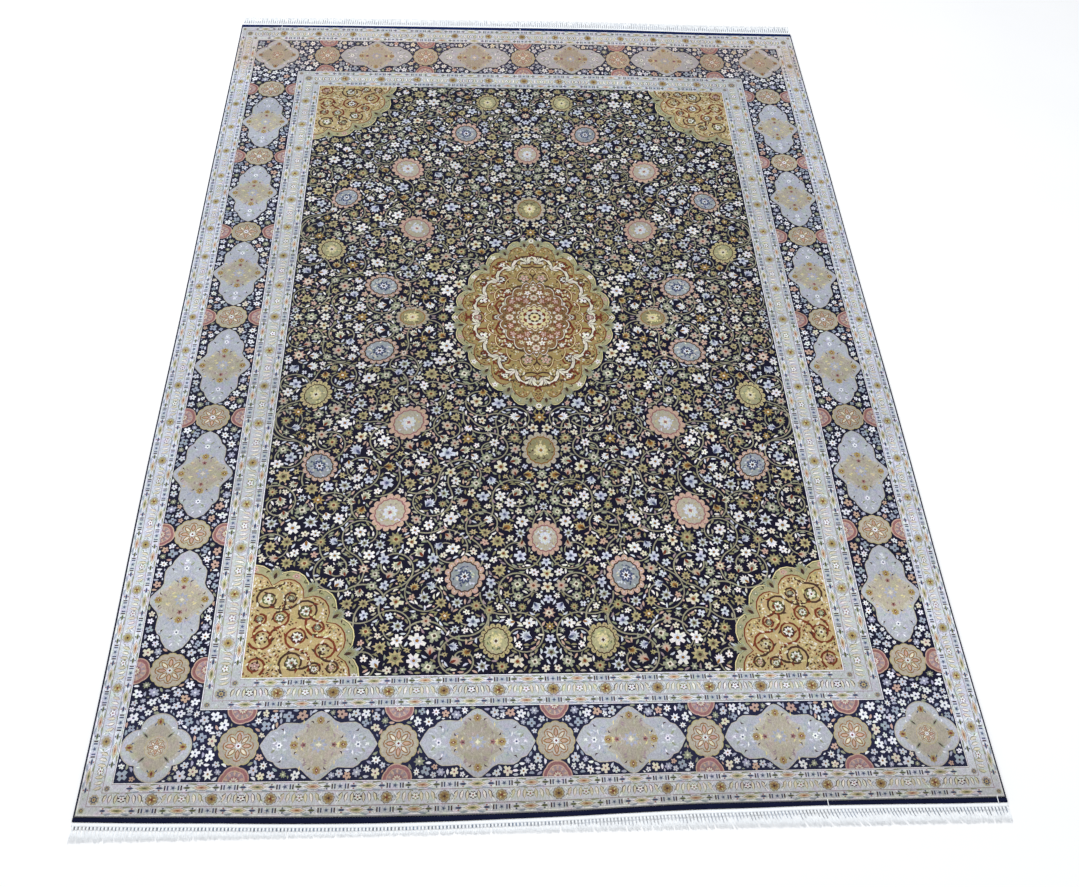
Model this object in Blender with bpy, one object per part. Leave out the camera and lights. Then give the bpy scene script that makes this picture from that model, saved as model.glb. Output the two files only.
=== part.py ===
"""Knotted silk rug, lying flat on a floor.

The rug is one level pile slab. A dark woven band finishes each end, a dark
overcast cord finishes each long side, and a white fringe stands out from each
band. Every underside lies at height zero. X runs across the rug and Y along it.
The origin is on the floor at the rug's centre.
"""

import math
import random

import bmesh
import bpy

# The pile, which carries the design
PILE_WIDTH = 1.520
PILE_LENGTH = 2.130
PILE_THICKNESS = 0.005
PILE_COLUMNS = 32
PILE_ROWS = 18

# How far each end bows out: share of the width, reach
NEAR_BOW = (
    (0.00, 0.0012),
    (0.07, 0.0040),
    (0.14, 0.0057),
    (0.20, 0.0080),
    (0.27, 0.0097),
    (0.38, 0.0106),
    (0.45, 0.0096),
    (0.52, 0.0077),
    (0.58, 0.0042),
    (0.65, 0.0008),
    (0.72, 0.0000),
    (1.00, 0.0000),
)
FAR_BOW = (
    (0.00, 0.0060),
    (0.09, 0.0092),
    (0.25, 0.0106),
    (0.42, 0.0106),
    (0.54, 0.0114),
    (0.66, 0.0105),
    (0.75, 0.0075),
    (0.83, 0.0048),
    (1.00, 0.0044),
)

# How far the long sides wander from straight, and how often
SIDE_WANDER = 0.002
SIDE_WANDERS = 2.3
RIGHT_WANDER_LAG = 2.0

# The finishes around the pile
PIECE_GAP = 0.0003
CORD_WIDTH = 0.0026
CORD_HEIGHT = 0.0038
BAND_HEIGHT = 0.0030
# How wide the bands are: share of the width, breadth
NEAR_BAND = (
    (0.00, 0.0074),
    (0.10, 0.0087),
    (0.20, 0.0096),
    (0.32, 0.0100),
    (0.42, 0.0087),
    (0.52, 0.0080),
    (0.62, 0.0088),
    (0.71, 0.0088),
    (0.79, 0.0069),
    (0.86, 0.0071),
    (0.94, 0.0081),
    (1.00, 0.0081),
)
FAR_BAND = (
    (0.00, 0.0142),
    (0.09, 0.0129),
    (0.20, 0.0136),
    (0.34, 0.0147),
    (0.58, 0.0153),
    (0.75, 0.0150),
    (1.00, 0.0143),
)

# The fringe: a woven web with a row of locks on its outer edge. The near locks
# are trimmed along a straight line, so far out from the pile's straight end
WEB_WIDTH = 0.0070
WEB_HEIGHT = 0.0016
LOCKS_PER_END = 150
LOCK_ROOT_WIDTH = 0.0048
LOCK_BELLY_WIDTH = 0.0072
LOCK_TIP_WIDTH = 0.0050
LOCK_BELLY_HEIGHT = 0.0024
LOCK_TIP_HEIGHT = 0.0010
LOCK_BELLY_AT = 0.32
NEAR_TIPS = 0.0415
FAR_LOCK_LENGTH = 0.031
LOCK_LENGTH_SPREAD = 0.0016
LEAN_LENGTH = 0.033
LOCK_LEAN_SPREAD = 0.0011
FRINGE_SEED = 41

# How the fringe was combed: share of the rug's width, sideways shift of a tip
# that is LEAN_LENGTH away from its root
NEAR_LEAN = (
    (0.00, -0.001),
    (0.06, -0.001),
    (0.30, 0.000),
    (0.52, 0.002),
    (0.64, 0.007),
    (0.74, 0.014),
    (0.84, 0.018),
    (0.93, 0.016),
    (1.00, 0.004),
)
FAR_LEAN = (
    (0.00, -0.001),
    (0.20, 0.001),
    (0.50, -0.002),
    (0.80, 0.002),
    (1.00, 0.001),
)

# Rounding of the upper rims
PILE_ROUND = 0.0012
CORD_ROUND = 0.0009
BAND_ROUND = 0.0008
ROUND_SEGMENTS = 2
RIM_TOLERANCE = 1e-6

COLLECTION_NAME = "silk_rug"

# Finish: base colour, roughness
SILK_PILE = ((0.16, 0.15, 0.17), 0.55)
NAVY_YARN = ((0.012, 0.013, 0.045), 0.75)
WHITE_COTTON = ((0.80, 0.81, 0.80), 0.85)


def clear_scene():
    """Remove every object, so the script can be run again."""
    for scene_object in list(bpy.data.objects):
        bpy.data.objects.remove(scene_object)


def make_material(name, finish):
    """A plain cloth material of one colour."""
    colour, roughness = finish
    material = bpy.data.materials.new(name)
    material.use_nodes = True
    shader = material.node_tree.nodes["Principled BSDF"]
    shader.inputs["Base Color"].default_value = (*colour, 1.0)
    shader.inputs["Roughness"].default_value = roughness
    shader.inputs["Metallic"].default_value = 0.0
    return material


def slope_at(rows, row):
    """Slope of a table's smooth curve at one of its rows."""
    before = rows[max(row - 1, 0)]
    after = rows[min(row + 1, len(rows) - 1)]
    return (after[1] - before[1]) / (after[0] - before[0])


def curve_at(rows, share):
    """Value at a share of the width, on a smooth curve through a table's rows."""
    share = min(max(share, 0.0), 1.0)
    row = 0
    while share > rows[row + 1][0]:
        row += 1
    start, start_value = rows[row]
    stop, stop_value = rows[row + 1]
    span = stop - start
    t = (share - start) / span
    rise = span * slope_at(rows, row)
    fall = span * slope_at(rows, row + 1)
    return (
        (2.0 * t**3 - 3.0 * t**2 + 1.0) * start_value
        + (t**3 - 2.0 * t**2 + t) * rise
        + (3.0 * t**2 - 2.0 * t**3) * stop_value
        + (t**3 - t**2) * fall
    )


def side_x(side, along):
    """Where a long side of the pile runs. The left side is -1, the right is 1."""
    share = min(max(along, 0.0), 1.0)
    lag = RIGHT_WANDER_LAG if side > 0 else 0.0
    wander = math.sin(2.0 * math.pi * SIDE_WANDERS * share + lag) - math.sin(lag)
    return side * PILE_WIDTH / 2.0 + SIDE_WANDER * wander * (1.0 - share)


def end_y(end, across):
    """Where an end of the pile runs. The near end is -1, the far end is 1."""
    rows = NEAR_BOW if end < 0 else FAR_BOW
    return end * (PILE_LENGTH / 2.0 + curve_at(rows, across))


def pile_plan(across, along):
    """Plan position on the pile, from shares of its width and its length."""
    left = side_x(-1, along)
    right = side_x(1, along)
    near = end_y(-1, across)
    far = end_y(1, across)
    return left + (right - left) * across, near + (far - near) * along


def side_plan(side, near_offset, width):
    """Plan of a strip beside the pile, from its inner edge outwards."""

    def plan(across, along):
        offset = near_offset + width * across
        x = side_x(side, along) + side * offset
        near = end_y(-1, 0.5 + 0.5 * side)
        far = end_y(1, 0.5 + 0.5 * side)
        return x, near + (far - near) * along

    return plan


def end_strip(end, across):
    """Place along X, and the pile's edge and the band's breadth there."""
    reach = PILE_WIDTH / 2.0 + PIECE_GAP + CORD_WIDTH
    x = reach * (2.0 * across - 1.0)
    share = x / PILE_WIDTH + 0.5
    rows = NEAR_BAND if end < 0 else FAR_BAND
    return x, end_y(end, share), curve_at(rows, share)


def band_plan(end):
    """Plan of the band beyond one end, as wide as the pile with its side cords."""

    def plan(across, along):
        x, edge, breadth = end_strip(end, across)
        return x, edge + end * (PIECE_GAP + breadth * along)

    return plan


def web_plan(end):
    """Plan of the fringe's web, outside the band."""

    def plan(across, along):
        x, edge, breadth = end_strip(end, across)
        return x, edge + end * (2.0 * PIECE_GAP + breadth + WEB_WIDTH * along)

    return plan


def level_slab(columns, rows, plan, height):
    """A bmesh slab on the floor whose outline follows plan(across, along)."""
    mesh = bmesh.new()
    bmesh.ops.create_grid(mesh, x_segments=columns, y_segments=rows, size=0.5)
    for vert in mesh.verts:
        vert.co.x, vert.co.y = plan(vert.co.x + 0.5, vert.co.y + 0.5)
    grown = bmesh.ops.extrude_face_region(mesh, geom=mesh.faces[:])
    raised = [item for item in grown["geom"] if isinstance(item, bmesh.types.BMVert)]
    bmesh.ops.translate(mesh, verts=raised, vec=(0.0, 0.0, height))
    bmesh.ops.recalc_face_normals(mesh, faces=mesh.faces[:])
    return mesh


def round_upper_rim(mesh, height, radius):
    """Round the edges where the slab's top meets its walls."""
    rim = []
    for edge in mesh.edges:
        level = all(abs(vert.co.z - height) < RIM_TOLERANCE for vert in edge.verts)
        beside_wall = any(abs(face.normal.z) < 0.5 for face in edge.link_faces)
        if level and beside_wall:
            rim.append(edge)
    bmesh.ops.bevel(
        mesh,
        geom=rim,
        offset=radius,
        segments=ROUND_SEGMENTS,
        profile=0.5,
        affect="EDGES",
    )


def add_piece(name, mesh, material, collection):
    """Turn a bmesh into a named object in the rug's collection."""
    data = bpy.data.meshes.new(name)
    mesh.to_mesh(data)
    mesh.free()
    data.materials.append(material)
    piece = bpy.data.objects.new(name, data)
    collection.objects.link(piece)
    return piece


def add_strip(name, columns, rows, plan, height, radius, material, collection):
    """A level strip or slab with a rounded upper rim."""
    mesh = level_slab(columns, rows, plan, height)
    round_upper_rim(mesh, height, radius)
    return add_piece(name, mesh, material, collection)


def comb_share(column):
    """Share of the web's width at a grid line, wide spaces and narrow roots in turn."""
    pitch = (PILE_WIDTH + 2.0 * (PIECE_GAP + CORD_WIDTH)) / LOCKS_PER_END
    root_share = LOCK_ROOT_WIDTH / pitch
    lock, is_right_side = divmod(column - 1, 2)
    if column == 0:
        return 0.0
    if column == 2 * LOCKS_PER_END + 1:
        return 1.0
    half_root = root_share / 2.0 if is_right_side else -root_share / 2.0
    return (lock + 0.5 + half_root) / LOCKS_PER_END


def lean_at(share, end):
    """Sideways shift of a lock's tip, read between the rows of its end's table."""
    rows = NEAR_LEAN if end < 0 else FAR_LEAN
    for (start, start_lean), (stop, stop_lean) in zip(rows, rows[1:]):
        if share <= stop:
            part_way = (share - start) / (stop - start)
            return start_lean + (stop_lean - start_lean) * part_way
    return rows[-1][1]


def lock_length(end, root_y):
    """Length of a lock from its root, before its own random share."""
    if end > 0:
        return FAR_LOCK_LENGTH
    return NEAR_TIPS - (abs(root_y) - PILE_LENGTH / 2.0)


def grow_section(mesh, face, end, centre_x, base_y, reach, width, height):
    """Extrude a lock's end face to its next section and return the new end face."""
    grown = bmesh.ops.extrude_discrete_faces(mesh, faces=[face])
    tip = grown["faces"][0]
    middle = tip.calc_center_median()
    for vert in tip.verts:
        is_right = vert.co.x > middle.x
        is_upper = vert.co.z > middle.z
        vert.co.x = centre_x + (width / 2.0 if is_right else -width / 2.0)
        vert.co.y = base_y + end * reach
        vert.co.z = height if is_upper else 0.0
    return tip


def add_fringe(name, end, material, collection):
    """A woven web with its row of locks, which rest level on the floor."""
    rng = random.Random(FRINGE_SEED + end)
    columns = 2 * LOCKS_PER_END + 1
    base_plan = web_plan(end)

    def comb_plan(across, along):
        return base_plan(comb_share(round(across * columns)), along)

    mesh = level_slab(columns, 1, comb_plan, WEB_HEIGHT)
    outer_faces = []
    for face in mesh.faces:
        if end * face.normal.y > 0.5:
            outer_faces.append(face)
    outer_faces.sort(key=lambda face: face.calc_center_median().x)
    for lock, root in enumerate(outer_faces[1::2]):
        share = (lock + 0.5) / LOCKS_PER_END
        start = root.calc_center_median()
        length = lock_length(end, start.y)
        length += rng.uniform(-LOCK_LENGTH_SPREAD, LOCK_LENGTH_SPREAD)
        lean = lean_at(share, end) * length / LEAN_LENGTH
        lean += rng.uniform(-LOCK_LEAN_SPREAD, LOCK_LEAN_SPREAD)
        sections = (
            (LOCK_BELLY_AT, LOCK_BELLY_WIDTH, LOCK_BELLY_HEIGHT),
            (1.0, LOCK_TIP_WIDTH, LOCK_TIP_HEIGHT),
        )
        face = root
        for part_way, width, height in sections:
            centre_x = start.x + lean * part_way**2
            face = grow_section(
                mesh, face, end, centre_x, start.y, length * part_way, width, height
            )
    return add_piece(name, mesh, material, collection)


def build():
    """Make every piece of the rug."""
    clear_scene()
    collection = bpy.data.collections.new(COLLECTION_NAME)
    bpy.context.scene.collection.children.link(collection)
    silk = make_material("silk_pile", SILK_PILE)
    navy = make_material("navy_yarn", NAVY_YARN)
    cotton = make_material("white_cotton", WHITE_COTTON)

    add_strip(
        "rug",
        PILE_COLUMNS,
        PILE_ROWS,
        pile_plan,
        PILE_THICKNESS,
        PILE_ROUND,
        silk,
        collection,
    )
    for side, side_name in ((-1, "left"), (1, "right")):
        plan = side_plan(side, PIECE_GAP, CORD_WIDTH)
        name = "side_cord_" + side_name
        add_strip(name, 1, PILE_ROWS, plan, CORD_HEIGHT, CORD_ROUND, navy, collection)
    for end, end_name in ((-1, "near"), (1, "far")):
        name = "end_band_" + end_name
        add_strip(
            name,
            PILE_COLUMNS,
            1,
            band_plan(end),
            BAND_HEIGHT,
            BAND_ROUND,
            navy,
            collection,
        )
        add_fringe("fringe_" + end_name, end, cotton, collection)


build()
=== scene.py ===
"""Looks of a knotted silk rug, lying flat on a pale floor.

The pile is a mesh whose faces follow the woven design. One quarter of the
design is drawn as filled outlines in millimetres and mirrored to the other
three. Every other measure is in metres. X runs across the rug and Y along it,
and the near end, towards the camera, is at the lower Y.
"""

import itertools
import math
import random

import bpy
import numpy as np
from mathutils import Matrix, Vector
from mathutils.geometry import delaunay_2d_cdt


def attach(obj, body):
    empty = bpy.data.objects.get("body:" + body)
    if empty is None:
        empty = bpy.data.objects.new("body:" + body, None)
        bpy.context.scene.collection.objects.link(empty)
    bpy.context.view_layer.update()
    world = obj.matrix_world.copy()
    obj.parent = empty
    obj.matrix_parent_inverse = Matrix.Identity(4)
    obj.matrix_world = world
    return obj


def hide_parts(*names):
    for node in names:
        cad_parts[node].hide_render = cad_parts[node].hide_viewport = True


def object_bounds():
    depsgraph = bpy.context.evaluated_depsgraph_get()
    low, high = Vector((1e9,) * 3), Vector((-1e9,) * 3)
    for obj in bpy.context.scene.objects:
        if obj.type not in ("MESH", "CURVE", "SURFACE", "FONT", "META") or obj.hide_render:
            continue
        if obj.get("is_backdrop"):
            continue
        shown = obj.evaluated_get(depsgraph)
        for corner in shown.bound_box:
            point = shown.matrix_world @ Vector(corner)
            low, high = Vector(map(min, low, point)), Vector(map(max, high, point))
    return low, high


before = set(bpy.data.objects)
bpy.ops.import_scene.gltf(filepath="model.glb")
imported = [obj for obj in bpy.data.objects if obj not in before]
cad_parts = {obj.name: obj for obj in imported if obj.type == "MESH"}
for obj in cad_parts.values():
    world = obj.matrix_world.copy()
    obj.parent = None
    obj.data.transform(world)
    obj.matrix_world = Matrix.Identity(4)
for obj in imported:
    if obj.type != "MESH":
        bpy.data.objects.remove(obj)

CAD_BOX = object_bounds()

# Colours of the dyed silk, in sRGB from 0 to 255
SILKS = {
    "navy": (10, 10, 36),
    "indigo": (16, 17, 44),
    "white": (232, 235, 238),
    "ivory": (233, 230, 223),
    "cream": (216, 211, 190),
    "wheat": (212, 201, 150),
    "silver": (200, 206, 215),
    "pearl": (184, 189, 191),
    "pewter": (174, 178, 185),
    "sand": (178, 174, 162),
    "lilac": (162, 166, 184),
    "mist": (152, 164, 178),
    "mauve": (152, 134, 138),
    "sage": (144, 149, 126),
    "olive": (136, 132, 98),
    "lichen": (166, 162, 124),
    "straw": (180, 167, 124),
    "honey": (177, 158, 112),
    "gold": (158, 138, 88),
    "amber": (140, 98, 46),
    "umber": (132, 104, 68),
    "beige": (172, 165, 147),
    "peach": (192, 162, 144),
    "rose": (148, 102, 101),
    "rust": (112, 50, 32),
    "brown": (66, 44, 38),
    "slate": (68, 77, 106),
    "moss": (90, 96, 64),
    "stem": (146, 143, 120),
    "ash": (150, 157, 160),
}
HALF_WIDTH = 760.0
HALF_LENGTH = 1065.0
FIELD_INSET = 232.0
FIELD_X = HALF_WIDTH - FIELD_INSET
FIELD_Y = HALF_LENGTH - FIELD_INSET
# Grounds of the border, as distances in from the pile's edge. The first three are one
# line, cut where the rim rounds off.
GROUNDS = (
    (0.0, "pewter"), (0.4, "pewter"), (1.0, "pewter"), (1.8, "white"), (3.4, "silver"),
    (16.0, "mauve"), (17.2, "silver"), (39.2, "mauve"), (40.4, "silver"), (54.2, "mauve"),
    (55.2, "white"), (56.4, "indigo"), (172.0, "white"), (173.4, "mauve"), (174.4, "pearl"),
    (188.4, "mauve"), (189.6, "pearl"), (214.2, "mauve"), (215.4, "pearl"), (229.4, "mauve"),
    (230.4, "white"), (FIELD_INSET, "navy"),
)
NARROW_STRIPES = ((3.4, 16.0), (40.4, 54.2), (174.4, 188.4), (215.4, 229.4))
WIDE_STRIPES = ((17.4, 39.0), (189.8, 214.0))
NARROW_PITCH = 90.0
WIDE_PITCH = 92.0
BORDER_LOW = 56.0
BORDER_HIGH = 172.0
BORDER_MIDDLE = 112.0
ROUNDEL_RADIUS = 33.0
MEDALLION = (180.0, 256.0)
MEDALLION_LOBES = 5
MEDALLION_POWER = 1.25
SPANDREL = (198.0, 222.0)
SPANDREL_LOBES = 4
SPANDREL_POWER = 0.95
SCALLOP = 0.11
GOLD_SCALE = 0.915
STEM_REACH = 42.0
PATTERN_SEED = 20
UNEVEN = 0.13
TAU = 2.0 * math.pi

# Petal outlines, as share of a petal's turn and rise from waist to tip
POINTED = ((-0.5, 0.0), (0.0, 1.0))
ROUNDED = ((-0.5, 0.0), (-0.26, 0.84), (0.0, 1.0), (0.26, 0.84))
BLUNT = ((-0.5, 0.0), (-0.21, 0.95), (0.21, 0.95))
SMOOTH = tuple((turn / 14.0, math.cos(math.pi * turn / 14.0) ** 0.8) for turn in range(-7, 7))
LEAF_EDGE = ((0.32, 0.95), (0.70, 0.80))
SMALL_LEAF_EDGE = ((0.46, 1.0),)

# Flowers: petal outline, petals, waist, colours from the rim to the heart, weight
FIELD_FLOWERS = (
    (BLUNT, 6, 0.52, ("ivory", "silver", "amber"), 5),
    (BLUNT, 5, 0.48, ("cream", "straw", "rust"), 5),
    (POINTED, 8, 0.54, ("silver", "sage", "brown"), 6),
    (POINTED, 9, 0.60, ("straw", "olive", "brown"), 5),
    (BLUNT, 7, 0.60, ("sage", "cream", "brown"), 5),
    (BLUNT, 6, 0.54, ("beige", "peach", "rust"), 4),
    (POINTED, 8, 0.52, ("gold", "amber", "cream"), 3),
    (BLUNT, 5, 0.50, ("silver", "lilac", "slate"), 5),
    (POINTED, 10, 0.62, ("olive", "straw", "rust"), 4),
    (POINTED, 8, 0.56, ("peach", "cream", "brown"), 2),
)
SMALL_FLOWERS = (
    (BLUNT, 5, 0.48, ("ivory", "amber"), 6),
    (BLUNT, 4, 0.46, ("silver", "brown"), 5),
    (BLUNT, 5, 0.50, ("cream", "rust"), 4),
    (POINTED, 6, 0.50, ("sage", "cream"), 4),
    (POINTED, 6, 0.50, ("straw", "brown"), 4),
    (POINTED, 7, 0.56, ("olive", "cream"), 3),
    (BLUNT, 5, 0.50, ("peach", "rose"), 2),
)
BORDER_FLOWERS = (
    (BLUNT, 5, 0.50, ("white", "slate"), 6),
    (BLUNT, 5, 0.52, ("silver", "amber"), 6),
    (POINTED, 7, 0.52, ("white", "amber"), 4),
    (BLUNT, 4, 0.50, ("mist", "brown"), 4),
    (BLUNT, 5, 0.52, ("cream", "rose"), 3),
    (POINTED, 8, 0.58, ("sage", "cream"), 2),
    (BLUNT, 5, 0.54, ("peach", "brown"), 2),
    (BLUNT, 6, 0.58, ("lilac", "white"), 4),
)
GOLD_FLOWERS = (
    (BLUNT, 5, 0.54, ("cream", "white", "rust"), 6),
    (POINTED, 8, 0.60, ("ivory", "sage", "rust"), 4),
    (POINTED, 7, 0.62, ("sage", "olive", "cream"), 4),
    (BLUNT, 6, 0.60, ("straw", "cream", "brown"), 4),
    (BLUNT, 5, 0.56, ("peach", "rose", "cream"), 2),
)
# Strewn leaves: how many, length, width, weights of their silks
FIELD_SILKS = {
    "ivory": 4, "silver": 4, "cream": 2, "sage": 5, "olive": 5, "peach": 3, "beige": 2, "mauve": 2,
}
FIELD_LEAVES = (1080, 12.0, 4.2, FIELD_SILKS)
BORDER_SILKS = {"white": 4, "silver": 5, "lilac": 4, "peach": 2, "sage": 3, "mist": 2}
BORDER_LEAVES = (300, 10.0, 4.4, BORDER_SILKS)
MEDALLION_SILKS = {"brown": 7, "rust": 4, "cream": 3, "olive": 4, "white": 2, "moss": 4}
MEDALLION_LEAVES = (190, 8.0, 3.6, MEDALLION_SILKS)
HEART_LEAVES = (40, 8.0, 3.4, {"rust": 3, "white": 2, "brown": 2})
SPANDREL_SILKS = {"cream": 6, "rust": 4, "sage": 1, "wheat": 3, "ivory": 2, "brown": 6, "olive": 1}
SPANDREL_LEAVES = (170, 8.0, 3.4, SPANDREL_SILKS)
# Palmettes: silks of the rim, the lines, the body, the flecks and the star
GREY = ("peach", "brown", "ash", ("silver", "slate", "cream"), "white")
OLIVE = ("straw", "brown", "lichen", ("moss", "wheat", "sage"), "cream")
PEACH = ("peach", "rose", "beige", ("straw", "silver", "mauve"), "cream")
GOLD = ("beige", "amber", "olive", ("gold", "wheat", "brown"), "cream")
# Centre, radius, turn in degrees, silks
PALMETTES = (
    ((330.0, 96.0), 36.0, 25.0, GREY),
    ((452.0, 214.0), 31.0, 70.0, OLIVE),
    ((262.0, 286.0), 38.0, 55.0, PEACH),
    ((430.0, 392.0), 34.0, 120.0, GREY),
    ((290.0, 500.0), 37.0, 60.0, PEACH),
    ((150.0, 640.0), 36.0, 80.0, GREY),
    ((96.0, 770.0), 30.0, 90.0, OLIVE),
    ((0.0, 356.0), 38.0, 90.0, GOLD),
    ((0.0, 560.0), 33.0, 90.0, PEACH),
    ((264.0, 0.0), 31.0, 0.0, GOLD),
)
PALMETTE_LENGTH = 1.18
PALMETTE_PETALS = 15
# Radii of the strewn flowers, and how many of each
FLOWER_SIZES = ((15.5, 14), (13.5, 40), (11.8, 66), (10.4, 84), (9.0, 100), (7.6, 120), (6.2, 130))
BORDER_FLOWER_SIZES = ((9.0, 34), (7.6, 80), (6.2, 140), (4.8, 190))
GOLD_CURL_SIZES = ((21.0, 12), (16.0, 24), (11.5, 30))
HEART_FLOWER_SIZES = ((8.0, 10), (6.0, 14), (4.4, 20))
# The flowers on the axes of the medallion's heart: axis, distance out
HEART_AXIS_FLOWERS = ((0, 54.0), (1, 60.0), (1, 88.0))
HEART_SCALE = 0.44
# Points of a curling stem that bear flowers, with the flowers' radii
STEM_FLOWERS = ((-1, 13.0), (-11, 10.5), (-19, 12.0), (8, 10.5))
FANS = (
    ("straw", "amber", "brown"),
    ("ivory", "silver", "amber"),
    ("cream", "sage", "rust"),
    ("silver", "lilac", "slate"),
    ("beige", "peach", "rust"),
)
# The medallion's lobed lines: size against its own, colours and widths
LOBED_LINES = ((0.76, (("brown", 11.0), ("cream", 6.6))), (0.60, (("rust", 5.4), ("wheat", 2.2))))
# How far round a drawn thing the room is measured, and more room than there ever is
MARGIN = 30.0
NO_LIMIT = 1e9


class Drawing:
    """Filled outlines in painter's order, each with the name of its silk."""

    def __init__(self):
        self.outlines = []
        self.silks = []
        self.place = None

    def petals(self, silk, *shape):
        self.fill(petals(*shape), silk)

    def leaf(self, silk, *shape):
        self.fill(leaf(*shape), silk)

    def ray(self, silk, centre, start, angle, *shape):
        """A leaf that starts some way out from a centre and points along the angle."""
        self.fill(leaf(polar(centre, start, angle), angle, *shape), silk)

    def oval(self, silk, *shape):
        self.fill(oval(*shape), silk)

    def fill(self, outline, silk):
        if self.place:
            outline = [self.place(x, y) for x, y in outline]
        doubled_area = 0.0
        for (x0, y0), (x1, y1) in zip(outline, outline[1:] + outline[:1]):
            doubled_area += x0 * y1 - x1 * y0
        self.outlines.append(outline if doubled_area > 0 else outline[::-1])
        self.silks.append(silk)


class Clearance:
    """How far each square millimetre of the quarter lies from what is drawn."""

    def __init__(self, ground):
        self.room = np.full((int(HALF_LENGTH) + 1, int(HALF_WIDTH) + 1), -1.0)
        self.mark(ground, inside=True)

    def window(self, low, high):
        """The grid's part between two corners, with its points."""
        x0, y0 = max(int(low[0]), 0), max(int(low[1]), 0)
        x1 = max(min(int(high[0]) + 2, self.room.shape[1]), x0)
        y1 = max(min(int(high[1]) + 2, self.room.shape[0]), y0)
        ys, xs = np.mgrid[y0:y1, x0:x1]
        return (slice(y0, y1), slice(x0, x1)), xs + 0.5, ys + 0.5

    def dot(self, centre, radius, reach=MARGIN):
        """Takes up a round place."""
        span = radius + reach
        low = (centre[0] - span, centre[1] - span)
        part, xs, ys = self.window(low, (centre[0] + span, centre[1] + span))
        away = np.hypot(xs - centre[0], ys - centre[1]) - radius
        self.room[part] = np.minimum(self.room[part], away)

    def mark(self, outline, inside=False):
        """Takes up an outline's place, or opens the ground inside it."""
        points = np.array(outline)
        part, xs, ys = self.window(points.min(0) - MARGIN, points.max(0) + MARGIN)
        away = np.full(xs.shape, NO_LIMIT)
        within = np.zeros(xs.shape, bool)
        for (x0, y0), (x1, y1) in zip(points, np.roll(points, -1, 0)):
            dx, dy = x1 - x0, y1 - y0
            share = ((xs - x0) * dx + (ys - y0) * dy) / max(dx * dx + dy * dy, 1e-9)
            share = np.clip(share, 0.0, 1.0)
            away = np.minimum(away, np.hypot(xs - x0 - share * dx, ys - y0 - share * dy))
            if y0 != y1:
                within ^= ((y0 > ys) != (y1 > ys)) & (xs < x0 + (ys - y0) * dx / dy)
        away = np.where(within, -away, away)
        self.room[part] = -away if inside else np.minimum(self.room[part], away)

    def at(self, x, y):
        rows, columns = self.room.shape
        return self.room[min(max(int(y), 0), rows - 1), min(max(int(x), 0), columns - 1)]

    def spots(self, rng, low, high=NO_LIMIT):
        """Random places whose room lies between low and high, until none is left."""
        while True:
            rows, columns = np.nonzero((self.room >= low) & (self.room < high))
            if not len(rows):
                return
            for _ in range(80):
                pick = rng.randrange(len(rows))
                place = (float(columns[pick]) + 0.5, float(rows[pick]) + 0.5)
                if low <= self.at(*place) < high:
                    yield place

    def scatter(self, rng, radius, gap, count, slack=3.0):
        """Centres for up to count round places, each close to what is there."""
        centres = []
        need = radius + gap
        for high in (need + slack, NO_LIMIT):
            for centre in self.spots(rng, need, high):
                if len(centres) == count:
                    break
                self.dot(centre, radius)
                centres.append(centre)
        return centres


def polar(centre, radius, angle):
    return centre[0] + radius * math.cos(angle), centre[1] + radius * math.sin(angle)


def beside(centre, along, aside, angle):
    """A place some way along an angle, and then aside to its left."""
    return polar(polar(centre, along, angle), aside, angle + math.pi / 2)


def petals(centre, radius, count, waist, turn, profile, squash=1.0, uneven=0.0):
    """The outline of a flower seen from above, squashed across its turn if asked."""
    points = []
    for petal in range(count):
        size = radius * (1.0 + uneven * math.sin(2.1 * petal * petal + centre[0]))
        for share, rise in profile:
            angle = TAU * (petal + share) / count
            reach = size * (waist + (1.0 - waist) * rise)
            tip = (reach * math.cos(angle), reach * math.sin(angle) * squash)
            points.append(beside(centre, *tip, turn))
    return points


def oval(centre, along, across, steps=6, turn=0.0):
    return petals(centre, along, steps, 1.0, turn, ((0.0, 0.0),), across / along)


def leaf(base, angle, length, width, bend=0.0):
    """An almond leaf that points along angle and may bow to one side."""

    def edge(share, off):
        return beside(base, share * length, off + bend * length * math.sin(math.pi * share), angle)

    rises = LEAF_EDGE if length > 9.5 or width > 5.0 else SMALL_LEAF_EDGE
    left = [edge(share, width / 2.0 * rise) for share, rise in rises]
    right = [edge(share, -width / 2.0 * rise) for share, rise in reversed(rises)]
    return [edge(0.0, 0.0), *left, edge(1.0, 0.0), *right]


def stroke(art, path, start_width, end_width, silk, run=6):
    """A stem along a path, in short runs so that it may cross itself."""
    points = np.array(path)
    ahead = np.gradient(points, axis=0)
    ahead /= np.maximum(np.linalg.norm(ahead, axis=1, keepdims=True), 1e-9)
    aside = np.stack([-ahead[:, 1], ahead[:, 0]], 1)
    aside *= np.linspace(start_width, end_width, len(points))[:, None] / 2.0
    for first in range(0, len(points) - 1, run):
        part = slice(first, first + run + 1)
        outline = [*(points + aside)[part], *(points - aside)[part][::-1]]
        art.fill([tuple(point) for point in outline], silk)


def arc(centre, start, stop, radius, points):
    shares = [step / (points - 1) for step in range(points)]
    return [polar(centre, radius, start + (stop - start) * share) for share in shares]


def curl(centre, outer, inner, start, way, turns, tail, points):
    """A path that swings in from a counter-curve and winds to the centre."""
    swing = start + math.pi
    path = arc(polar(centre, outer + tail, start), swing + way * 2.0, swing, tail, points // 2)
    for step in range(1, points):
        share = step / (points - 1)
        radius = inner + (outer - inner) * (1.0 - share) ** 1.15
        path.append(polar(centre, radius, start + way * TAU * turns * share))
    return path


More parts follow.
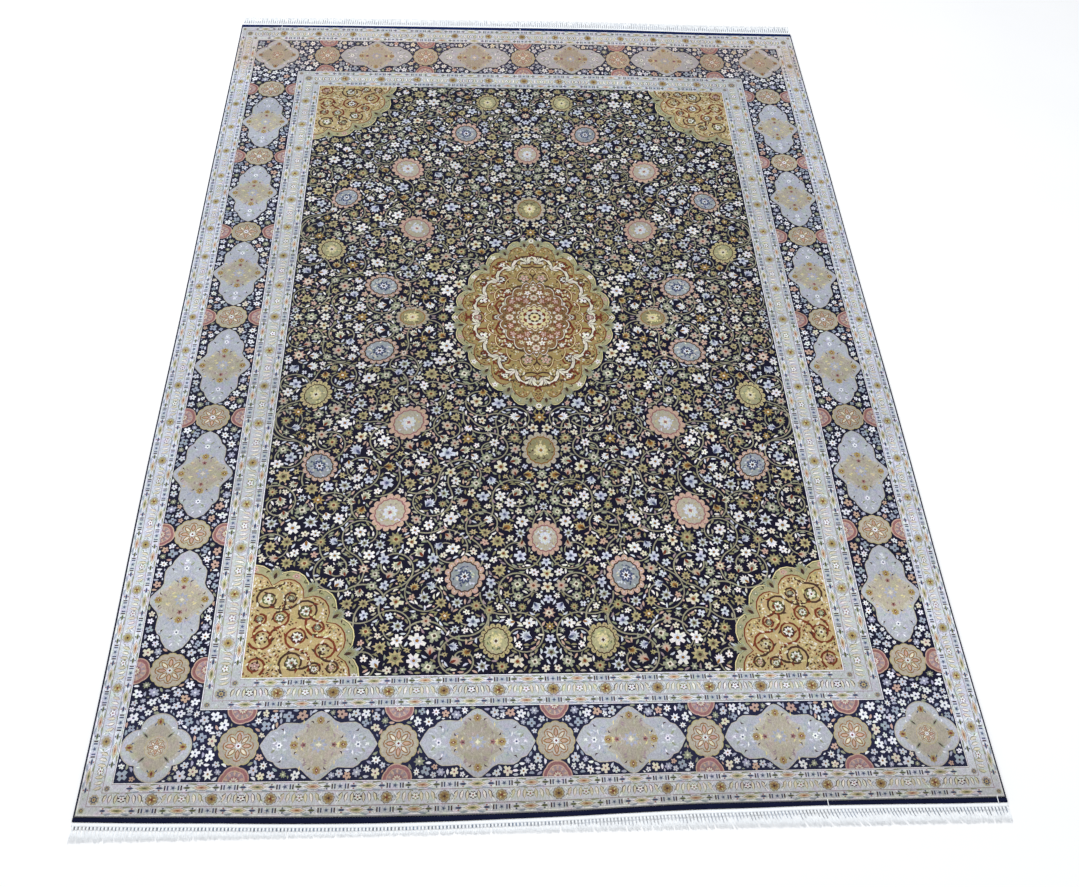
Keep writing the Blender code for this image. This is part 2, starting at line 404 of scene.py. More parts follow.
def scalloped(size, lobes, power, grow=0.0, scale=1.0, quarters=4, steps=6):
    """A lozenge with a scalloped rim, whole or its first quarter, a lobe on each axis."""
    points = []
    for step in range(quarters * lobes * steps + (quarters == 1)):
        angle = math.pi / 2 * step / (lobes * steps)
        rise = 1.0 - SCALLOP + SCALLOP * abs(math.cos(2.0 * lobes * angle)) ** 0.7
        spot = []
        for reach, part in zip(size, (math.cos(angle), math.sin(angle))):
            spot.append((reach * scale + grow) * math.copysign(abs(part) ** power, part) * rise)
        points.append(tuple(spot))
    return points


def medallion_outline(grow=0.0, scale=1.0):
    return scalloped(MEDALLION, MEDALLION_LOBES, MEDALLION_POWER, grow, scale)


def from_corner(points):
    """Turns a shape about the origin into one that grows from the field's corner."""
    return [(FIELD_X - x, FIELD_Y - y) for x, y in points]


def spandrel_outline(grow=0.0, scale=1.0):
    rim = scalloped(SPANDREL, SPANDREL_LOBES, SPANDREL_POWER, grow, scale, quarters=1)
    return from_corner([(0.0, 0.0), *rim])


def rectangle(inset):
    x, y = HALF_WIDTH - inset, HALF_LENGTH - inset
    return [(0.0, 0.0), (x, 0.0), (x, y), (0.0, y)]


def flower(art, rng, centre, radius, kinds, turn=None):
    """A flower: uneven petals, often a middle in another silk, and a heart."""
    profile, count, waist, silks, _ = rng.choices(kinds, [kind[-1] for kind in kinds])[0]
    if turn is None:
        turn = rng.uniform(0.0, TAU)
    art.petals(silks[0], centre, radius, count, waist, turn, profile, 1.0, UNEVEN)
    if len(silks) > 2:
        art.petals(silks[1], centre, radius * 0.56, count // 2 + 1, 0.66, turn, POINTED, 1.0, UNEVEN)
    art.oval(silks[-1], centre, radius * 0.25, radius * 0.25, 5, turn)


def fan(art, centre, radius, angle, silks):
    """A flower in profile: a fan of petals over a small cup."""
    base = polar(centre, -radius * 0.75, angle)
    outer = [base]
    inner = [base]
    for petal in range(7):
        for share, rise in POINTED:
            turn = angle + 1.9 * (2.0 * (petal + 0.5 + share) / 7 - 1.0)
            size = 1.0 - 0.22 * abs(2.0 * (petal + 0.5) / 7 - 1.0)
            reach = radius * (0.62 + 0.38 * rise) * size
            outer.append(polar(centre, reach, turn))
            inner.append(polar(centre, reach * 0.6, turn))
    art.fill(outer, silks[0])
    art.fill(inner, silks[1])
    art.leaf(silks[2], base, angle, radius * 0.9, radius * 0.42)


def palmette(art, centre, radius, angle, silks):
    """A large flower: petals round a flecked oval, with a lobed figure and a star."""
    rim, line, body, flecks, star = silks
    long = radius * PALMETTE_LENGTH
    squash = 1.0 / PALMETTE_LENGTH
    rng = random.Random(int(centre[0] + 7.0 * centre[1]))
    art.petals(rim, centre, long, PALMETTE_PETALS, 0.84, angle, ROUNDED, squash, 0.03)
    for petal in range(PALMETTE_PETALS):
        for share, silk, start, length in ((0.5, line, 0.74, 0.12), (0.0, flecks[0], 0.80, 0.11)):
            turn = TAU * (petal + share) / PALMETTE_PETALS
            tip = (long * start * math.cos(turn), long * start * math.sin(turn) * squash)
            art.leaf(silk, beside(centre, *tip, angle), angle + turn, long * length, 1.8)
    for size, silk in ((0.79, line), (0.72, body)):
        art.petals(silk, centre, long * size, PALMETTE_PETALS, 0.93, angle, POINTED, squash)
    for _ in range(30):
        turn = rng.uniform(0.0, TAU)
        reach = long * 0.60 * math.sqrt(rng.uniform(0.2, 1.0))
        spot = polar(centre, reach * (1.0 - 0.14 * abs(math.sin(turn - angle))), turn)
        lie = rng.uniform(0.0, TAU)
        size = (rng.uniform(6.0, 9.5), rng.uniform(2.6, 4.0))
        art.leaf(rng.choice(flecks), spot, lie, *size, 0.12)
    art.petals(flecks[1], centre, long * 0.36, 8, 0.70, angle, ROUNDED, squash)
    art.petals(star, centre, long * 0.26, 8, 0.46, angle, POINTED, squash)
    art.petals(line, centre, long * 0.12, 4, 0.60, angle, POINTED, squash)


def leaves(art, room, rng, count, length, width, weights):
    """Leaves laid along the gaps that are left."""
    need = width / 2.0 + 0.5
    tries = room.spots(rng, need)
    for _ in range(count):
        best = (-1.0,)
        for place in itertools.islice(tries, 4):
            for turn in range(6):
                angle = math.pi * turn / 6
                ends = [polar(place, side * length * 0.32, angle) for side in (-1, 1)]
                best = max(best, (min(room.at(*ends[0]), room.at(*ends[1])), place, angle))
            if best[0] > need:
                break
        if len(best) == 1:
            return
        tight, place, angle = best
        size = 1.0 if tight > need - 0.6 else 0.62
        angle += rng.choice((0.0, math.pi))
        silk = rng.choices(list(weights), weights.values())[0]
        shape = (length * size, width * size, rng.uniform(-0.16, 0.16))
        art.ray(silk, place, -length * size / 2.0, angle, *shape)
        for share in (-0.26, 0.26):
            room.dot(polar(place, share * length * size, angle), width * size / 2.0, 9.0)
def divided(points, longest=60.0):
    """A closed outline with its long sides cut into even runs."""
    outline = []
    for (x0, y0), (x1, y1) in zip(points, points[1:] + points[:1]):
        runs = max(int(math.ceil(math.hypot(x1 - x0, y1 - y0) / longest)), 1)
        for run in range(runs):
            share = run / runs
            outline.append((x0 + (x1 - x0) * share, y0 + (y1 - y0) * share))
    return outline


def frame_band(low, high):
    """The part of a border stripe that lies in the quarter."""
    return divided([*rectangle(low)[1:], *rectangle(high)[:0:-1]])


def along_end(s, t):
    return s, HALF_LENGTH - t


def along_side(s, t):
    return HALF_WIDTH - t, s


# The border's runs: what lays a place that is some way along and in from the edge, half
# the length, panels, and the silks of the guards' palmettes from the rim in
RUNS = (
    (along_end, HALF_WIDTH, 5, ("brown", "beige", "gold", "umber")),
    (along_side, HALF_LENGTH, 7, ("mauve", "sand", "lichen", "gold")),
)
# Each way along a run, with the angle that points there
WAYS = ((-1, math.pi), (1, 0.0))
# The narrow stripes: a lozenge's layers as length and breadth, and the bars beside a
# flower as distance and silk. Breadths are shares of half the stripe.
LOZENGE = ((29.0, 1.9), (27.0, 1.6), (20.0, 1.1), (9.2, 0.5))
LOZENGE_SILKS = (("slate", "cream", "peach", "amber"), ("mauve", "cream", "lichen", "moss"))
BARS = ((8.4, "slate"), (12.6, "brown"))
HALF_BAR = 1.15
# White scrolls: start, step, rises as shares of half the stripe, widths
NARROW_SCROLL = (3.0, 8.2, (0.95, 0.42, 0.22, 0.9), (1.9, 1.3))
WIDE_SCROLL = (11.0, 1.8, (0.95, 0.72, 0.40, 0.10), (1.7, 1.1))


def scroll(art, centre, side, rise, shape):
    """A white stroke that curls away from a flower."""
    start, step, rises, widths = shape
    path = []
    for order, share in enumerate(rises):
        path.append((centre[0] + side * (start + step * order), centre[1] + rise * share))
    stroke(art, path, *widths, "white", 8)


def stripe(reach, low, high, pitch):
    """A stripe's middle, half its breadth, and its whole units with their pitch."""
    units = int(round(reach / pitch))
    return (low + high) / 2.0, (high - low) / 2.0 - 1.0, units, reach / units


def narrow_stripe(art, reach, low, high):
    """Small flowers between pairs of dark bars, and lozenges among white arcs."""
    middle, half, units, step = stripe(reach, low, high, NARROW_PITCH)
    for unit in range(units):
        is_odd = unit % 2
        s = (unit + 0.5) * step
        for side, ahead in WAYS:
            for level, silk in ((-1, "mist"), (1, "sage")):
                turn = side * level
                spot = (s + side * 5.0, middle + level * half * 0.62)
                art.leaf(silk, spot, ahead + 0.16 * turn, 17.0, 3.4, 0.10 * turn)
                scroll(art, (s, middle), side, level * half, NARROW_SCROLL)
                spot = (s + side * 22.5, middle + level * half * 0.66)
                art.oval("rose" if is_odd else "slate", spot, 1.9, 1.7, 4)
            silk = "slate" if is_odd else "moss"
            art.leaf(silk, (s + side * 16.5, middle), ahead, 12.0, half * 0.8)
        for silk, (length, breadth) in zip(LOZENGE_SILKS[is_odd], LOZENGE):
            art.leaf(silk, (s - length / 2.0, middle), 0.0, length, half * breadth)
        s = unit * step
        for silk, size, count in (("mist", 0.94, 5), ("slate", 0.52, 4)):
            art.petals(silk, (s, middle), half * size, count, 0.5, unit, POINTED)
        for side, ahead in WAYS:
            for away, silk in BARS:
                x, rise = s + side * away, half * 1.4 / 2.0
                corners = ((-1, -1), (1, -1), (1, 1), (-1, 1))
                art.fill([(x + HALF_BAR * a, middle + rise * b) for a, b in corners], silk)
            for level in (-1, 1):
                spot = (s + side * 14.4, middle + level * half * 0.3)
                art.leaf("white", spot, ahead + level * side * 0.9, 5.5, 2.0)


def sheaf(art, s, middle, half, dark):
    """A row of pale upright leaves with dark edges round a small flower."""
    foot = middle + half * 0.90
    for order in (-3, 3, -2, 2, -1, 1):
        lean = 0.10 * order
        length = half * (1.66 - 0.05 * abs(order))
        for width, grow, silk in ((6.8, 1.0, dark), (4.4, 0.0, ("ivory", "cream")[order % 2])):
            base = (s + 8.4 * order - 2.0 * lean, foot + grow)
            art.leaf(silk, base, lean - math.pi / 2, length + 1.6 * grow, width, 0.02 * order)
    heart = (s, middle + half * 0.10)
    art.petals(dark, heart, half * 0.66, 7, 0.70, -math.pi / 2, ROUNDED)
    art.petals("white", heart, half * 0.54, 5, 0.52, -math.pi / 2, BLUNT)
    art.oval("rose", heart, 1.9, 1.9, 5)
    for side in (-1, 1):
        lean = math.pi / 2 - side * 1.35
        art.leaf("sage", (s + side * 3.0, foot), lean, 12.0, 2.4, 0.12 * side)


# A guard's palmette, layer by layer: size, petals, waist, turn, outline, unevenness
GUARD_PALMETTE = (
    (1.02, 9, 0.84, 0.2, ROUNDED, 0.05),
    (0.94, 9, 0.84, 0.2, ROUNDED, 0.05),
    (0.80, 8, 0.80, 0.4, POINTED, 0.06),
    (0.64, 6, 0.66, 0.5, POINTED, 0.10),
)


def wide_stripe(art, reach, low, high, silks):
    """Palmettes between rows of pale upright leaves."""
    middle, half, units, step = stripe(reach, low, high, WIDE_PITCH)
    for unit in range(units):
        is_odd = unit % 2
        centre = (unit * step, middle)
        for silk, (size, *shape, uneven) in zip(silks, GUARD_PALMETTE):
            art.petals(silk, centre, half * size, *shape, 1.0, uneven)
        for tip in range(3):
            turn = 0.9 + TAU * tip / 3
            silk = "wheat" if is_odd else "gold"
            art.ray(silk, centre, 1.5, turn, half * 0.56, 2.6, 0.1)
        art.petals("rust" if is_odd else "brown", centre, half * 0.28, 4, 0.6, 0.1, POINTED)
        for side, ahead in WAYS:
            for level, silk in ((-1, "sage"), (1, "mist")):
                spot = (centre[0] + side * 10.8, middle + level * half * 0.48)
                art.leaf(silk, spot, ahead - level * side * 0.5, 8.0, 3.0, 0.14)
                scroll(art, centre, side, level * half, WIDE_SCROLL)
        sheaf(art, centre[0] + step / 2.0, middle, half, silks[0] if is_odd else "olive")


def stripe_flecks(art, reach, low, high, count):
    """Small strokes in near tones that break up a stripe's ground."""
    rng = random.Random(int(low * 10.0 + reach))
    for _ in range(count):
        spot = (rng.uniform(4.0, reach - 4.0), rng.uniform(low + 1.6, high - 1.6))
        silk = rng.choice(("white", "mist", "sage", "mauve", "white", "sand"))
        art.leaf(silk, spot, rng.choice((0.0, 0.5, -0.5, math.pi / 2)), 4.4, 1.9)


def corner_flower(art, inset, radius):
    """A flower where two runs of a stripe meet."""
    centre = (HALF_WIDTH - inset, HALF_LENGTH - inset)
    art.petals("beige", centre, radius, 8, 0.84, math.pi / 8, ROUNDED)
    art.petals("slate", centre, radius * 0.74, 8, 0.66, math.pi / 8, POINTED)
    art.petals("straw", centre, radius * 0.44, 8, 0.70, 0.0, POINTED)
    art.oval("rust", centre, radius * 0.16, radius * 0.16)


def draw_guards(art):
    """The stripes at both sides of the border."""
    for place, half, _, silks in RUNS:
        art.place = place
        for low, high in NARROW_STRIPES:
            stripe_flecks(art, half - high, low, high, 40)
            narrow_stripe(art, half - high - 8.0, low, high)
        for low, high in WIDE_STRIPES:
            stripe_flecks(art, half - high, low, high, 30)
            wide_stripe(art, half - (low + high) / 2.0, low, high, silks)
    art.place = None
    for low, high in NARROW_STRIPES + WIDE_STRIPES:
        corner_flower(art, (low + high) / 2.0, (high - low) / 2.0 - 1.2)


# A panel's edge in its first quarter: distance along from the middle, and across
PANEL_EDGE = (
    (0.0, 54.0),
    (7.0, 52.0),
    (15.0, 46.0),
    (24.0, 38.0),
    (33.0, 34.0),
    (46.0, 35.0),
    (58.0, 35.0),
    (66.0, 31.0),
    (71.0, 25.0),
    (80.0, 22.0),
)
COOL_FLECKS = ("white", "mist", "lilac", "silver")
WARM_FLECKS = ("straw", "mauve", "wheat", "sand")


def panel_outline(s, half_length, grow=0.0):
    """A long panel with a pointed lobe at each middle and scalloped shoulders."""
    edge = [(x, y + grow) for x, y in PANEL_EDGE]
    edge += [(half_length - 8.0, 13.0 + grow), (half_length - 1.0 + grow, 0.0)]
    right = edge + [(x, -y) for x, y in edge[-2::-1]]
    left = [(-x, y) for x, y in right[-2:0:-1]]
    return [(s + x, BORDER_MIDDLE + y) for x, y in right + left]


def panel_flecks(art, s, half_length):
    """Small strokes in near tones that break up a panel's ground."""
    rng = random.Random(int(half_length))
    for _ in range(26):
        x = rng.uniform(6.0, half_length - 16.0)
        y = rng.uniform(2.0, 26.0 if x > 30.0 else 34.0)
        lie = rng.uniform(0.0, math.pi)
        silk = rng.choice(COOL_FLECKS if x > 36.0 else WARM_FLECKS)
        for side in (-1, 1):
            for level in (-1, 1):
                spot = (s + side * x, BORDER_MIDDLE + level * y)
                art.leaf(silk, spot, lie * side * level, 9.0, 3.0, 0.1 * side)


def eye(art, centre, reach, ahead, radius, back, *size):
    """A gold eye with a rust leaf, some reach from a panel's middle."""
    spot = polar(centre, reach, ahead)
    art.petals("gold", spot, radius, 7, 0.74, ahead, POINTED)
    art.ray("rust", spot, -back, ahead, *size)
    return spot


def panel(art, s, half_length):
    """A grey panel that turns tan towards the middle, with four eyes."""
    middle = (s, BORDER_MIDDLE)
    for grow, silk in ((1.4, "sand"), (-0.2, "pewter")):
        art.fill(panel_outline(s, half_length, grow), silk)
    for radius, silk in ((47.0, "sand"), (39.0, "beige")):
        art.petals(silk, middle, radius, 4, 0.80, 0.0, ROUNDED, 0.98)
    panel_flecks(art, s, half_length)
    for radius, turn, silk in ((15.0, 0.0, "lilac"), (10.0, 0.4, "sand")):
        art.petals(silk, middle, radius, 8, 0.60, turn, POINTED, 0.9)
    for turn in range(4):
        ahead = math.pi / 2 * turn
        art.oval("cream", eye(art, middle, 40.0, ahead, 7.6, 4.6, 9.0, 5.0), 1.3, 1.3, 4)
        for side in (-1, 1):
            hook = beside(middle, 34.0, side * 10.0, ahead)
            art.leaf("brown", hook, ahead + side * 0.9, 8.0, 2.6, -0.2 * side)
    for side, ahead in WAYS:
        bud = (s + side * 25.0, BORDER_MIDDLE)
        art.petals("rose", bud, 5.4, 5, 0.56, ahead, POINTED)
        art.ray("brown", bud, -4.0, ahead, 6.4, 2.6)
        bloom = (s + side * 64.0, BORDER_MIDDLE)
        art.petals("white", bloom, 6.0, 6, 0.60, ahead, POINTED)
        art.oval("slate", bloom, 2.0, 2.0, 5)
        for lean in (-1, 1):
            art.ray("sage", bloom, 8.0, ahead + 0.8 * lean, 10.0, 3.6)
            hook = (s + side * 58.0, BORDER_MIDDLE + lean * 22.0)
            art.leaf("brown", hook, ahead + side * lean * 0.6, 8.5, 2.8, 0.25 * lean)
    art.petals("cream", middle, 5.0, 4, 0.5, 0.0, POINTED)


# A roundel, layer by layer: size, petals, waist, silk
ROUNDEL = (
    (1.0, 12, 0.93, "straw"),
    (0.94, 12, 0.93, "beige"),
    (0.76, 8, 0.78, "amber"),
    (0.70, 8, 0.78, "sand"),
)


def roundel(art, centre, radius):
    """A tan roundel with a band of outlined buds."""
    for size, count, waist, silk in ROUNDEL:
        art.petals(silk, centre, radius * size, count, waist, 0.0, ROUNDED)
    for petal in range(8):
        turn = TAU * petal / 8
        buds = ((0.16, 0.52, 0.27, "amber"), (0.22, 0.38, 0.15, "cream" if petal % 2 else "peach"))
        for start, length, width, silk in buds:
            art.ray(silk, centre, radius * start, turn, radius * length, radius * width)
    art.petals("white", centre, radius * 0.17, 8, 0.6, 0.0, POINTED)
    art.oval("rust", centre, radius * 0.07, radius * 0.07, 5)


EDGE_FAN = ((25.0, "peach"), (23.0, "rose"), (18.0, "peach"), (16.4, "mauve"), (9.0, "rose"))


def edge_fan(art, s, edge, inward):
    """A rose fan that grows from the border's edge."""
    for radius, silk in EDGE_FAN:
        outline = []
        for step in range(21):
            angle = math.pi * step / 20
            reach = radius * (0.93 + 0.07 * abs(math.cos(2.5 * angle)) ** 0.7)
            outline.append((s + reach * math.cos(angle), edge + inward * reach * math.sin(angle)))
        art.fill(outline, silk)
    for petal in range(5):
        angle = inward * math.pi * (petal + 0.5) / 5
        for start, length, width, silk in ((9.0, 9.0, 4.0, "peach"), (2.0, 6.0, 2.6, "cream")):
            art.ray(silk, (s, edge), start, angle, length, width)


def corner_panel(art, centre):
    """A four-lobed panel where two runs of the border meet."""
    for radius, silk in ((56.0, "sand"), (53.8, "pewter"), (42.0, "sand"), (36.0, "beige")):
        art.petals(silk, centre, radius, 4, 0.74, 0.0, SMOOTH)
    for turn in range(8):
        ahead = math.pi / 4 * turn
        if turn % 2:
            art.ray("sage", centre, 20.0, ahead, 16.0, 6.0)
            art.ray("brown", centre, 22.0, ahead, 10.0, 2.6)
        else:
            eye(art, centre, 42.0, ahead, 7.0, 4.4, 8.6, 4.6)
        for side in (-1, 1):
            bough = beside(centre, 34.0, side * 8.0, ahead)
            art.leaf("white" if turn % 2 else "slate", bough, ahead - side * 0.6, 8.0, 2.4, 0.15 * side)
    roundel(art, centre, 19.0)


def draw_border(art, rng):
    """Panels, roundels and fans along the border, and flowers strewn between them."""
    room = Clearance(frame_band(BORDER_LOW, BORDER_HIGH))
    corner = (HALF_WIDTH - BORDER_MIDDLE, HALF_LENGTH - BORDER_MIDDLE)
    room.mark(petals(corner, 56.0, 4, 0.74, 0.0, ROUNDED))
    pieces = []
    for place, half, panels, _ in RUNS:
        pitch = 2.0 * (half - BORDER_MIDDLE) / panels
        half_length = pitch / 2.0 - ROUNDEL_RADIUS - 1.5
        for unit in range(panels // 2):
            s = (unit + 0.5) * pitch
            room.mark([place(*point) for point in panel_outline(s, half_length, 1.6)])
            pieces.append((place, panel, (s, half_length)))
        for unit in range(panels // 2 + 1):
            s = unit * pitch
            room.dot(place(s, BORDER_MIDDLE), ROUNDEL_RADIUS)
            pieces.append((place, roundel, ((s, BORDER_MIDDLE), ROUNDEL_RADIUS)))
            for edge, inward in ((BORDER_LOW, 1), (BORDER_HIGH, -1)):
                room.dot(place(s, edge), EDGE_FAN[0][0])
                pieces.append((place, edge_fan, (s, edge, inward)))
    for radius, count in BORDER_FLOWER_SIZES:
        for centre in room.scatter(rng, radius, 1.1, count):
            flower(art, rng, centre, radius, BORDER_FLOWERS)
    leaves(art, room, rng, *BORDER_LEAVES)
    for art.place, draw, sizes in pieces:
        draw(art, *sizes)
    art.place = None
    corner_panel(art, corner)


def axis_flowers(rng, low, high, taken):
    """Distances and radii of the flowers strung along one axis of the field."""
    flowers = []
    at = low
    while True:
        radius = rng.choice((9.0, 11.5, 14.0))
        blocks = [edge for edge, reach in taken if abs(at + radius - edge) < reach + radius + 2.0]
        if blocks:
            at = blocks[0] + dict(taken)[blocks[0]] + 3.0
        elif at + 2.0 * radius > high:
            return flowers
        else:
            flowers.append((at + radius, radius))
            at += 2.0 * radius + rng.uniform(3.0, 8.0)


def draw_field(art, rng):
    """Curling stems, strewn with flowers and leaves, round the palmettes."""
    room = Clearance(rectangle(FIELD_INSET))
    stems_room = Clearance(divided(rectangle(FIELD_INSET - 18.0), 400.0))
    room.mark(medallion_outline(3.0))
    room.mark(spandrel_outline(3.0))
    stems_room.mark(medallion_outline(-30.0))
    for centre, radius, degrees, _ in PALMETTES:
        long = radius * PALMETTE_LENGTH
        turn = math.radians(degrees)
        room.mark(petals(centre, long, 12, 1.0, turn, POINTED, 1.0 / PALMETTE_LENGTH))
        stems_room.dot(centre, radius * 0.5)

    flowers = []
    for axis, reach in enumerate((FIELD_X, FIELD_Y)):
        taken = []
        for centre, radius, _, _ in PALMETTES:
            if centre[1 - axis] == 0.0:
                taken.append((centre[axis], radius * PALMETTE_LENGTH))
        for at, radius in axis_flowers(rng, MEDALLION[axis] + 4.0, reach - 4.0, sorted(taken)):
            centre = (at, 0.0) if axis == 0 else (0.0, at)
            room.dot(centre, radius)
            flowers.append((centre, radius, math.pi / 2 * axis))

    stems = []
    for centre in stems_room.scatter(rng, STEM_REACH, 1.0, 60, 10.0):
        outer = STEM_REACH + rng.uniform(-3.0, 7.0)
        path = curl(centre, outer, 9.0, rng.uniform(0.0, TAU), rng.choice((-1, 1)), 1.3, STEM_REACH, 34)
        stems.append(path)
        for point, radius in STEM_FLOWERS:
            spot = path[point]
            if room.at(*spot) > radius + 1.0:
                room.dot(spot, radius)
                flowers.append((spot, radius, None))
        width = rng.uniform(2.5, 3.3)
        stroke(art, path, width, width * 0.75, "stem")
    line = np.array([point for path in stems for point in path])
    for point in line:
        room.dot(point, 1.8)
    for radius, count in FLOWER_SIZES:
        for centre in room.scatter(rng, radius, 2.3, count, 4.0):
            flowers.append((centre, radius, None))

    for centre, radius, turn in flowers:
        away = np.hypot(line[:, 0] - centre[0], line[:, 1] - centre[1])
        nearest = int(away.argmin())
        if turn is None and 6.0 < away[nearest] < 34.0:
            start = tuple(line[nearest])
            angle = math.atan2(centre[1] - start[1], centre[0] - start[0])
            art.leaf("stem", start, angle, away[nearest], 2.2, rng.choice((-0.2, 0.2)))
    for centre, radius, turn in flowers:
        if turn is None and radius > 9.0 and rng.random() < 0.30:
            fan(art, centre, radius * 1.04, rng.uniform(0.0, TAU), rng.choice(FANS))
        else:
            flower(art, rng, centre, radius, FIELD_FLOWERS if radius > 8.0 else SMALL_FLOWERS, turn)
    leaves(art, room, rng, *FIELD_LEAVES)
    for centre in room.scatter(rng, 2.3, 0.8, 160):
        art.oval(rng.choice(("cream", "sage", "peach", "silver")), centre, 2.3, 2.3, 5)
    for centre, radius, degrees, silks in PALMETTES:
        palmette(art, centre, radius, math.radians(degrees), silks)


def gold_ground(art, rng, outline, ground, size):
    """Rust tendrils that wind round flowers on a gold ground. Returns the room left."""
    room = Clearance(outline(-2.0, GOLD_SCALE))
    within = Clearance(outline(-2.0, GOLD_SCALE))
    art.fill(outline(1.4, GOLD_SCALE), "rust")
    art.fill(outline(-1.2, GOLD_SCALE), ground)
    for radius, count in GOLD_CURL_SIZES:
        radius *= size
        for centre in room.scatter(rng, radius, 0.8, count, 2.0):
            way = rng.choice((-1, 1))
            reach = (radius * 0.95, radius * 0.38)
            path = curl(centre, *reach, rng.uniform(0.0, TAU), way, 1.3, radius * 1.2, 18)
            path = [point for point in path if within.at(*point) > 1.0]
            if len(path) > 6:
                stroke(art, path, 4.0 * size, 2.9 * size, rng.choice(("rust", "rust", "brown")))
                for step in range(2, len(path) - 1, 3):
                    (x0, y0), (x1, y1) = path[step : step + 2]
                    ahead = math.atan2(y1 - y0, x1 - x0) - way * 0.6
                    silk = ("wheat", "brown", "cream", "rust")[(step // 3) % 4]
                    art.leaf(silk, (x0, y0), ahead, radius * 0.48, 3.6 * size, 0.1 * way)
            art.oval(rng.choice(("brown", "moss")), centre, radius * 0.47, radius * 0.47, 8)
            flower(art, rng, centre, radius * 0.42, GOLD_FLOWERS)
    for centre in room.scatter(rng, 1.9, 0.6, 90):
        art.oval(rng.choice(("cream", "brown", "wheat", "rust")), centre, 2.0, 2.0, 4)
    return room


def rim_place(size, power, angle, level):
    """A place on a scalloped shape's rim, at a level below it."""
    parts = (math.cos(angle), math.sin(angle))
    return tuple(reach * level * abs(part) ** power for reach, part in zip(size, parts))


def golden_shape(art, rng, outline, size, lobes, power, place, ground, scale):
    """A scalloped shape with an olive rim, and tendrils on gold within."""
    for grow, silk in ((0.0, "wheat"), (-2.2, "moss"), (-3.4, "lichen")):
        art.fill(outline(grow), silk)
    for lobe in range(4 * lobes + 1):
        angle = math.pi / 2 * lobe / (4 * lobes)
        level = (0.955, 0.925, 0.905, 0.925)[lobe % 4]
        centre = place([rim_place(size, power, angle, level)])[0]
        if lobe % 4 == 0:
            flower(art, rng, centre, 7.0, GOLD_FLOWERS, angle)
        else:
            for side in (-1, 1):
                lie = angle + math.pi / 2 + side * 0.5
                silk = ("brown", "cream", "moss", "brown")[(lobe + side) % 4]
                art.leaf(silk, centre, lie * side, 9.0, 3.2, 0.1)
    for lobe in range(lobes):
        angle = math.pi / 2 * (lobe + 0.5) / lobes
        spots = [rim_place(size, power, angle, level) for level in (0.93, 1.0)]
        (x0, y0), (x1, y1) = place(spots)
        fan(art, (x0, y0), 16.0, math.atan2(y1 - y0, x1 - x0), ("sage", "olive", "brown"))
    return gold_ground(art, rng, outline, ground, scale)


def trefoil(art, base, angle, size, is_rust):
    """Three leaves that spread from one place, pale with dark edges."""
    for lean in (-0.95, 0.95, 0.0):
        length = size * (1.0 if lean == 0.0 else 0.78)
        for grow, silk in ((1.6, "brown"), (0.0, "rust" if is_rust else "cream")):
            shape = (length + grow, size * 0.26 + grow, 0.12 * lean)
            art.ray(silk, base, -grow * 0.5, angle + lean, *shape)


# The medallion's heart, ring by ring: radius, petals, silk
HEART = (
    (40.0, 16, "cream"),
    (37.0, 16, "rust"),
    (34.0, 16, "wheat"),
    (26.0, 8, "rust"),
    (22.0, 8, "cream"),
    (15.0, 8, "brown"),
    (11.0, 8, "wheat"),
    (4.0, 8, "rust"),
)


def draw_medallion(art, rng):
    sizes = (MEDALLION, MEDALLION_LOBES, MEDALLION_POWER)
    room = golden_shape(art, rng, medallion_outline, *sizes, list, "gold", 1.2)
    leaves(art, room, rng, *MEDALLION_LEAVES)
    for scale, layers in LOBED_LINES:
        rim = scalloped(*sizes, 0.0, scale, quarters=1)
        for silk, width in layers:
            stroke(art, rim, width, width, silk)
    rim = scalloped(*sizes, 0.0, LOBED_LINES[0][0], quarters=1)
    for step in range(0, len(rim), 3):
        (x0, y0), (x1, y1) = rim[max(step - 1, 0)], rim[min(step + 1, len(rim) - 1)]
        outward = math.atan2(x0 - x1, y1 - y0)
        trefoil(art, rim[step], outward, 20.0 if step % 6 else 14.0, step % 6 == 0)
    for grow, silk in ((3.6, "brown"), (1.4, "cream"), (-1.2, "rust"), (-3.0, "umber")):
        art.fill(medallion_outline(grow, HEART_SCALE), silk)
    room = Clearance(medallion_outline(-6.0, HEART_SCALE))
    for axis, at in HEART_AXIS_FLOWERS:
        centre = (at, 0.0) if axis == 0 else (0.0, at)
        room.dot(centre, 10.0)
        for radius, silk in ((10.0, "cream"), (6.4, "peach"), (2.6, "rust")):
            art.petals(silk, centre, radius, 8, 0.7, math.pi / 2 * axis, POINTED)
    room.dot((0.0, 0.0), 41.0)
    for radius, count in HEART_FLOWER_SIZES:
        for centre in room.scatter(rng, radius, 1.0, count):
            art.oval("rust", centre, radius * 1.06, radius * 1.06, 8)
            flower(art, rng, centre, radius * 0.92, GOLD_FLOWERS)
    leaves(art, room, rng, *HEART_LEAVES)
    for ring, (radius, count, silk) in enumerate(HEART):
        art.petals(silk, (0.0, 0.0), radius, count, 0.80, math.pi / 8 * (ring % 2), ROUNDED)
    for bud in range(16):
        turn = TAU * (bud + 0.5) / 16
        art.oval("rust", polar((0.0, 0.0), 30.0, turn), 2.4, 2.0, 5, turn)


def draw_spandrel(art, rng):
    sizes = (SPANDREL, SPANDREL_LOBES, SPANDREL_POWER)
    room = golden_shape(art, rng, spandrel_outline, *sizes, from_corner, "honey", 1.15)
    leaves(art, room, rng, *SPANDREL_LEAVES)


